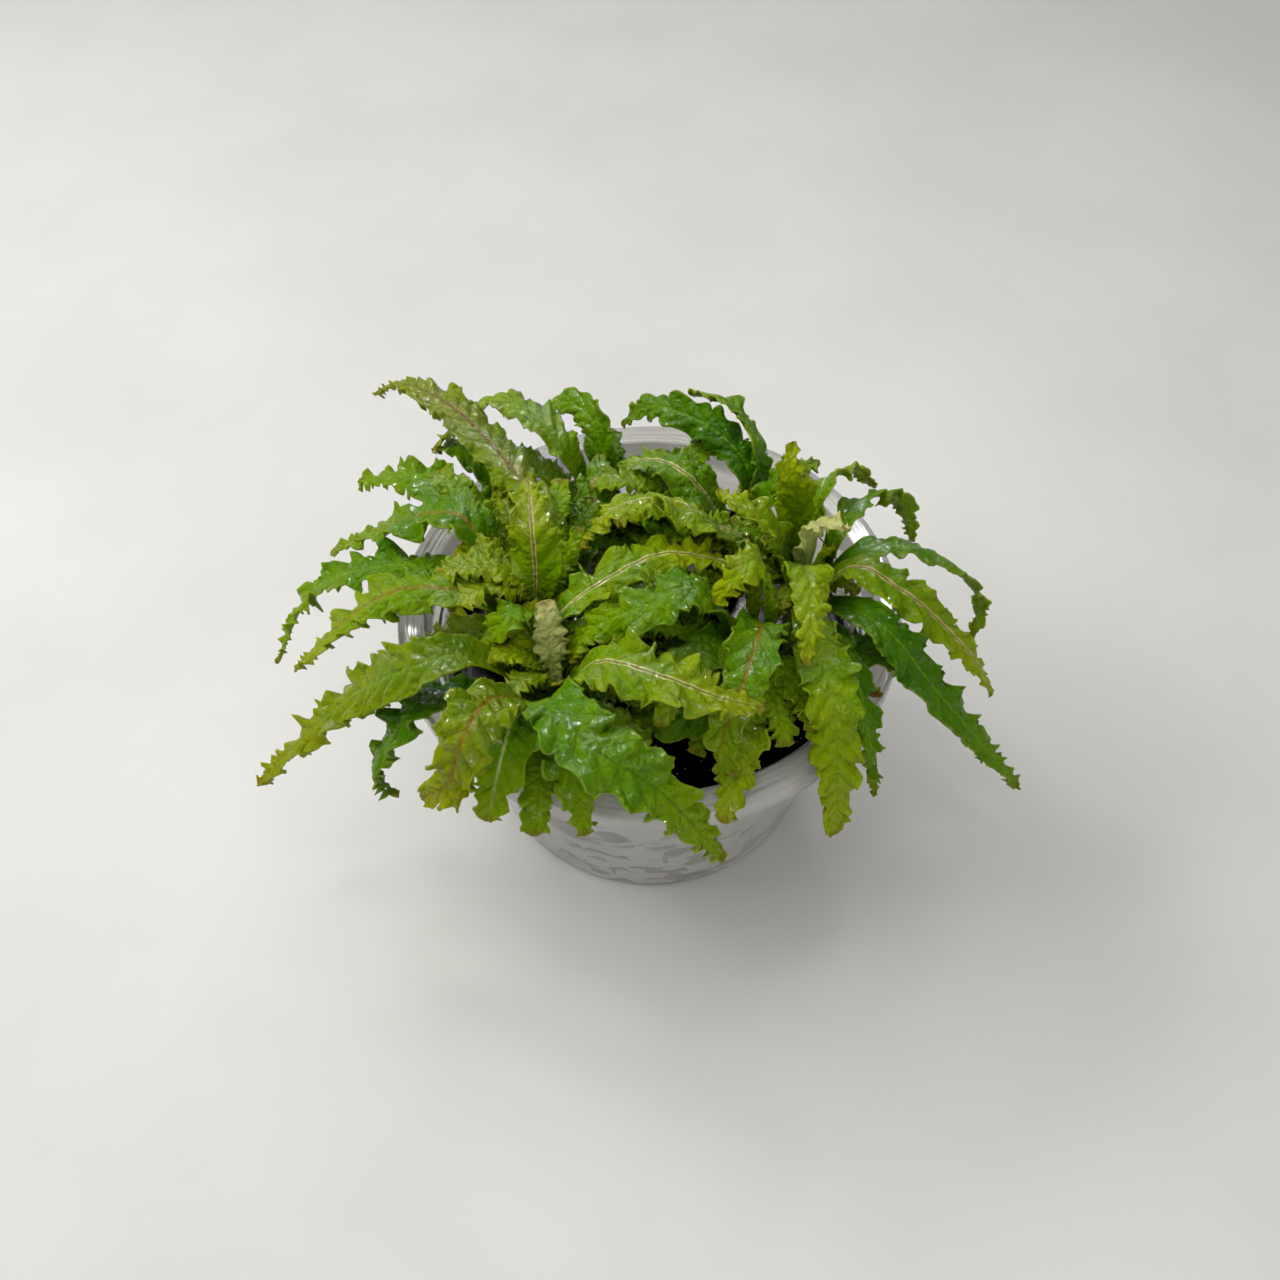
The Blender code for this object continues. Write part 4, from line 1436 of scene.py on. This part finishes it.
@dataclass
class Studio:
    """The pale floor, the soft light and the camera, with sizes in metres."""

    image_pixels: float = 1280.0
    focal_pixels: float = 1283.0
    sensor_mm: float = 36.0
    elevation: float = math.radians(52.78)
    roll: float = math.radians(-1.21)
    distance: float = 0.3234
    target: tuple[float, float, float] = (-0.002, 0.0329, 0.0)
    near_limit: float = 0.01
    floor_size: float = 4.0
    floor_tints: tuple[str, str] = ("E2E1DC", "DCDAD4")
    mottle_scale: float = 14.0
    mottle_rise: tuple[float, float] = (0.3, 0.7)
    strip_height: float = 0.95
    strip_size: tuple[float, float] = (0.6, 0.018)
    strip_watts: float = 0.46
    strip_places: tuple[tuple[float, float], ...] = (
        (-0.2, -0.15), (-0.05, 0.1), (0.1, 0.35), (0.2, 0.62)
    )
    room_light: float = 0.13

    def build(self) -> None:
        """Set out the floor, the lights and the camera."""
        self.lay_floor()
        self.hang_lamp("soft_overhead", (-0.08, -0.08, 0.9), (0.8, 0.8), 1.6, glints=False)
        self.hang_lamp("soft_side", (-0.52, 0.05, 0.5), (0.4, 0.4), 2.2, glints=False)
        self.hang_lamp("soft_front_fill", (0.3, -0.6, 0.4), (0.7, 0.4), 1.55, glints=False)
        self.hang_lamp("side_window", (-0.4, 0.35, 0.6), (0.13, 0.13), 1.1)
        self.hang_lamp("wet_glints_left", (-0.22, 0.42, 0.62), (0.065, 0.065), 10.0, shades=False)
        self.hang_lamp("wet_glints_right", (0.18, 0.46, 0.62), (0.065, 0.065), 10.0, shades=False)
        self.hang_lamp("wet_glints_front", (0.2, -0.68, 0.52), (0.05, 0.05), 6.0, shades=False)
        for place, far in self.strip_places:
            name = f"ceiling_strip_{round((far + 0.15) * 100):02d}"
            where = (place, far, self.strip_height)
            self.hang_lamp(name, where, self.strip_size, self.strip_watts)
        world = bpy.data.worlds.new("soft_room_light")
        world.use_nodes = True
        background = world.node_tree.nodes["Background"]
        background.inputs["Color"].default_value = srgb("F2F4F5")
        background.inputs["Strength"].default_value = self.room_light
        bpy.context.scene.world = world
        bpy.context.scene.view_settings.view_transform = "Standard"
        self.stand_camera()

    def lay_floor(self) -> None:
        """Lay the pale floor, of matt laminate with a faint mottle."""
        select_only()
        bpy.ops.mesh.primitive_plane_add(size=self.floor_size)
        floor = start_piece("pale_floor")
        surface = Surface("pale_laminate")
        cloud = surface.add(Kind.NOISE, surface.add(Kind.PLACE), self.mottle_scale, 3.0)
        share = surface.add(Kind.RISE, cloud, *self.mottle_rise)
        colour = surface.add(Kind.BLEND, share, *self.floor_tints)
        finish = {"Base Color": colour, "Roughness": 0.6, "Specular IOR Level": 0.15}
        floor.data.materials.append(surface.shade(finish))

    def hang_lamp(
        self,
        name: str,
        place: tuple[float, float, float],
        size: tuple[float, float],
        power: float,
        glints: bool = True,
        shades: bool = True,
    ) -> None:
        """Hang one soft rectangular lamp that faces the cup.

        Args:
            name: The lamp's name.
            place: Where it hangs.
            size: Its length and width.
            power: Its power in watts.
            glints: Whether it shows in the wet surfaces.
            shades: Whether it lights matt surfaces.
        """
        select_only()
        bpy.ops.object.light_add(type="AREA", location=place)
        lamp = start_piece(name)
        lamp.data.shape = "RECTANGLE"
        lamp.data.size, lamp.data.size_y = size
        lamp.data.energy = power
        lamp.visible_glossy = glints
        lamp.visible_diffuse = shades
        lamp.rotation_euler = (-Vector(place)).to_track_quat("-Z", "Y").to_euler()

    def stand_camera(self) -> None:
        """Stand the camera at the photograph's viewing angle."""
        select_only()
        bpy.ops.object.camera_add()
        camera = start_piece("view_from_above_the_front")
        camera.data.sensor_width = self.sensor_mm
        camera.data.lens = self.sensor_mm * self.focal_pixels / self.image_pixels
        camera.data.clip_start = self.near_limit
        tilt = Matrix.Rotation(math.pi / 2.0 - self.elevation, 4, "X")
        turned = tilt @ Matrix.Rotation(self.roll, 4, "Z")
        away = Vector((0.0, -math.cos(self.elevation), math.sin(self.elevation)))
        place = Vector(self.target) + away * self.distance
        camera.matrix_world = Matrix.Translation(place) @ turned
        bpy.context.scene.camera = camera


def by_leaf(table: dict) -> dict:
    """Turn a table of values and the names of their leaves round."""
    return {name: value for value, names in table.items() for name in names.split()}


class Plant:
    """All the leaves and crown stems of the plant, with sizes in millimetres.

    Each row of the young growth is a leaf's stem, tone, heading, lift, curl and length,
    then, where they aren't the usual ones, its half width, its frill and how far its
    foot stands below the stem's top.
    """

    BUD_LEAVES = 4
    BUD_TURNS = (-25.0, 25.0)
    BUD_LIFTS = (68.0, 84.0)
    BUD_CURLS = (20.0, 60.0)
    BUD_LENGTHS = (8.0, 11.5)
    FRILL = 1.1
    STRONG_FRILL = 1.2
    STRONG_FRILL_ROUNDNESS = 0.85
    RIGHT_LEAF_ROUNDNESS = 0.25
    ROUNDNESS = 0.6
    SLIMNESS = 0.96
    SLIMNESSES = {"right_front_leaf_05": 0.6}
    MIDRIBS = by_leaf(
        {
            Midrib.DARK: "left_leaf_01 front_leaf_06 right_front_leaf_01",
            Midrib.RED: "left_leaf_05 left_leaf_07 front_leaf_05 right_front_leaf_06",
            Midrib.PURPLE_BROWN: "left_leaf_08",
            Midrib.GOLDEN_PAIR: "left_leaf_10 front_leaf_07 right_back_leaf_05 right_back_leaf_06",
            Midrib.PINK_PAIR: "left_leaf_11 right_leaf_07",
            Midrib.PALE: "left_leaf_12 front_leaf_04 right_leaf_12",
        }
    )
    FRILLS = by_leaf(
        {
            0.3: "front_leaf_04",
            0.35: "right_leaf_04",
            0.45: "right_leaf_08 right_back_leaf_02 right_back_leaf_03",
            0.5: "right_leaf_03",
            0.6: "left_leaf_05",
            0.7: "right_leaf_07",
            1.3: "left_leaf_10 front_leaf_07 right_leaf_11",
            1.4: "right_leaf_10 right_back_leaf_06",
            1.5: "left_leaf_06 left_leaf_12",
        }
    )
    TONES = by_leaf(
        {
            Tone.OLIVE: "front_leaf_03",
            Tone.YELLOW: "left_leaf_07 right_leaf_09",
            Tone.MID: "front_leaf_04",
            Tone.DEEP: "right_front_leaf_05",
            Tone.SCORCHED: "right_leaf_01",
        }
    )
    YOUNG_MEASURES = (
        "heading", "lift", "curl", "length_mm", "half_width_mm", "frill_mm", "foot_drop_mm"
    )
    YOUNG_SPECIALS = {
        6: {"midrib": Midrib.PALE, "foot_offset_mm": -2.4, "dome_mm": 0.08},
        25: {"midrib": Midrib.RED},
        31: {"midrib": Midrib.GOLDEN_PAIR},
        33: {"midrib": Midrib.DARK},
        37: {"midrib": Midrib.RED},
    }
    YOUNG_GROWTH = (
        ("left", "YELLOW", 172, 92, 118, 24, 3.4, 1.6, 1.5),
        ("left", "MID", 48, 76, 50, 21),
        ("left", "DEEP", 138, 60, 40, 17),
        ("left", "DEEP", 18, 34, 25, 23, 2.2),
        ("left", "MID", 330, 40, 50, 18),
        ("front", "PALE", 100, 78, 30, 19, 3.6, 0.9, 1.0),
        ("front", "YELLOW", 150, 92, 100, 17, 3.2, 1.5, 1.0),
        ("front", "YELLOW", 228, 84, 130, 16, 3.2, 1.5, 1.0),
        ("front", "DEEP", 322, 22, 35, 21),
        ("front", "MID", 2, 36, 45, 20),
        ("back", "MID", 200, 52, 60, 19),
        ("back", "MID", 100, 55, 60, 15),
        ("back", "DEEP", 340, 42, 60, 19),
        ("back", "MID", 262, 48, 75, 20),
        ("right_back", "MID", 186, 56, 70, 25, 3.2),
        ("right_back", "MID", 228, 52, 65, 24, 3.2),
        ("right_back", "YELLOW", 214, 36, 55, 22),
        ("right_back", "MID", 150, 60, 80, 19),
        ("right", "YELLOW", 190, 62, 90, 19, 2.8, 1.2),
        ("right", "YELLOW", 282, 66, 95, 13, 2.8, 1.2),
        ("right", "YELLOW", 202, 34, 85, 21, 1.8),
        ("right", "MID", 160, 66, 60, 19),
        ("right", "YELLOW", 242, 52, 90, 15, 2.8, 1.2),
        ("right_back", "MID", 178, 62, 80, 35, 4.0),
        ("right_back", "OLIVE", 196, 58, 70, 30, 3.8),
        ("right_back", "DEEP", 135, 50, 60, 24, 3.6),
        ("back", "MID", 184, 60, 80, 27, 3.8),
        ("back", "MID", 238, 64, 75, 25, 3.6),
        ("back", "DEEP", 22, 60, 70, 27, 3.8),
        ("back", "MID", 300, 55, 60, 24, 3.4),
        ("right", "MID", 172, 58, 68, 29, 3.8),
        ("left", "MID", 78, 62, 50, 28, 3.6),
        ("left", "DEEP", 62, 48, 40, 26, 3.0),
        ("left", "MID", 128, 56, 72, 38, 4.0),
        ("back", "MID", 152, 46, 60, 30, 3.6),
        ("back", "DEEP", 92, 42, 60, 23, 3.4),
        ("front", "OLIVE", 232, 42, 112, 34, 3.6),
        ("front", "MID", 264, 36, 92, 33, 4.0),
        ("left", "DEEP", 345, 22, 30, 34, 2.4),
        ("left", "DEEP", 8, 28, 42, 36, 2.8),
        ("left", "YELLOW", 192, 94, 128, 28, 3.8, 1.7, 1.0),
        ("left", "YELLOW", 214, 90, 130, 27, 3.6, 1.7, 1.5),
        ("left", "YELLOW", 156, 90, 118, 23, 3.4, 1.6, 1.0),
        ("front", "YELLOW", 120, 88, 80, 17, 3.2, 1.5, 2.0),
        ("front", "YELLOW", 190, 90, 125, 19, 3.4, 1.6, 1.0),
        ("front", "DEEP", 345, 26, 50, 33, 3.2),
        ("front", "MID", 310, 42, 85, 30, 3.4),
        ("right", "YELLOW", 178, 62, 80, 24, 3.0, 1.5),
        ("right", "YELLOW", 206, 56, 90, 23, 2.8, 1.4),
        ("right", "YELLOW", 322, 62, 95, 14, 2.8, 1.4),
        ("right_front", "DEEP", 178, 22, 32, 34, 2.6),
        ("right_front", "DEEP", 206, 20, 32, 30, 2.8),
        ("right_back", "DEEP", 250, 24, 34, 30, 2.8),
        ("front", "DEEP", 28, 30, 20, 30, 2.6),
        ("right_front", "MID", 262, 30, 75, 31, 3.8),
        ("right_front", "MID", 244, 24, 60, 28, 3.4),
        ("right_front", "DEEP", 168, 30, 40, 27, 3.0),
        ("right_front", "DEEP", 190, 16, 25, 24, 2.4),
        ("right_front", "MID", 290, 44, 70, 28, 3.8),
        ("right_front", "DEEP", 142, 32, 35, 22),
        ("right_front", "MID", 228, 32, 45, 23),
        ("right_front", "MID", 278, 36, 70, 27, 3.6, 1.5),
    )

    def build(self) -> None:
        """Grow every leaf and stem on its CAD node, then the young leaves of the crowns."""
        # Of two tones with one slot, the first is the slot's own.
        tones = {tone.value[0]: tone for tone in reversed(Tone)}
        for part in sorted(frame["record"]["subparts"], key=lambda entry: entry["node"]):
            node = part["node"]
            slot = part["material_slot"]
            if node.endswith("_stem"):
                CrownStem(node).build()
            elif slot in tones:
                self.build_leaf(node, slot, self.TONES.get(node, tones[slot]))
        for number, (stem, tone, *sizes) in enumerate(self.YOUNG_GROWTH, start=1):
            growth = {"midrib": Midrib.GREEN} | dict(zip(self.YOUNG_MEASURES, sizes))
            growth |= self.YOUNG_SPECIALS.get(number, {})
            name = f"young_leaf_{number:02d}"
            YoungLeaf(name, Tone[tone], crown=f"{stem}_stem", **growth).build()
        for stem in (node for node in sorted(frame["nodes"]) if node.endswith("_stem")):
            self.build_bud(stem)

    def build_leaf(self, node: str, slot: str, tone: Tone) -> None:
        """Grow one leaf on its solid.

        Args:
            node: The leaf's CAD node.
            slot: The record's material slot.
            tone: The leaf's tone.
        """
        frill = self.FRILLS.get(node, self.FRILL)
        roundness = self.ROUNDNESS
        if frill > self.STRONG_FRILL:
            roundness = self.STRONG_FRILL_ROUNDNESS
        elif node.startswith("right_leaf"):
            roundness = self.RIGHT_LEAF_ROUNDNESS
        Leaf(
            node,
            tone,
            self.MIDRIBS.get(node, Midrib.GREEN),
            frill_mm=frill,
            roundness=roundness,
            slot=slot,
            slimness=self.SLIMNESSES.get(node, self.SLIMNESS),
        ).build()

    def build_bud(self, stem: str) -> None:
        """Close a crown with its smallest leaves, which stand round the stem's top."""
        chance = random.Random(stem)
        for number in range(1, self.BUD_LEAVES + 1):
            YoungLeaf(
                stem.replace("stem", f"bud_leaf_{number}"),
                Tone.YELLOW,
                Midrib.GREEN,
                crown=stem,
                heading=360.0 * number / self.BUD_LEAVES + chance.uniform(*self.BUD_TURNS),
                lift=chance.uniform(*self.BUD_LIFTS),
                curl=chance.uniform(*self.BUD_CURLS),
                length_mm=chance.uniform(*self.BUD_LENGTHS),
                half_width_mm=2.0,
                foot_drop_mm=3.0,
                frill_mm=0.7,
                across_parts=14,
            ).build()


def main() -> None:
    """Build the cup, the gel, the plant and the studio."""
    logging.basicConfig(level=logging.INFO)
    CultureCup().build()
    GrowingMedium().build()
    Plant().build()
    Studio().build()


if __name__ == "__main__":
    main()
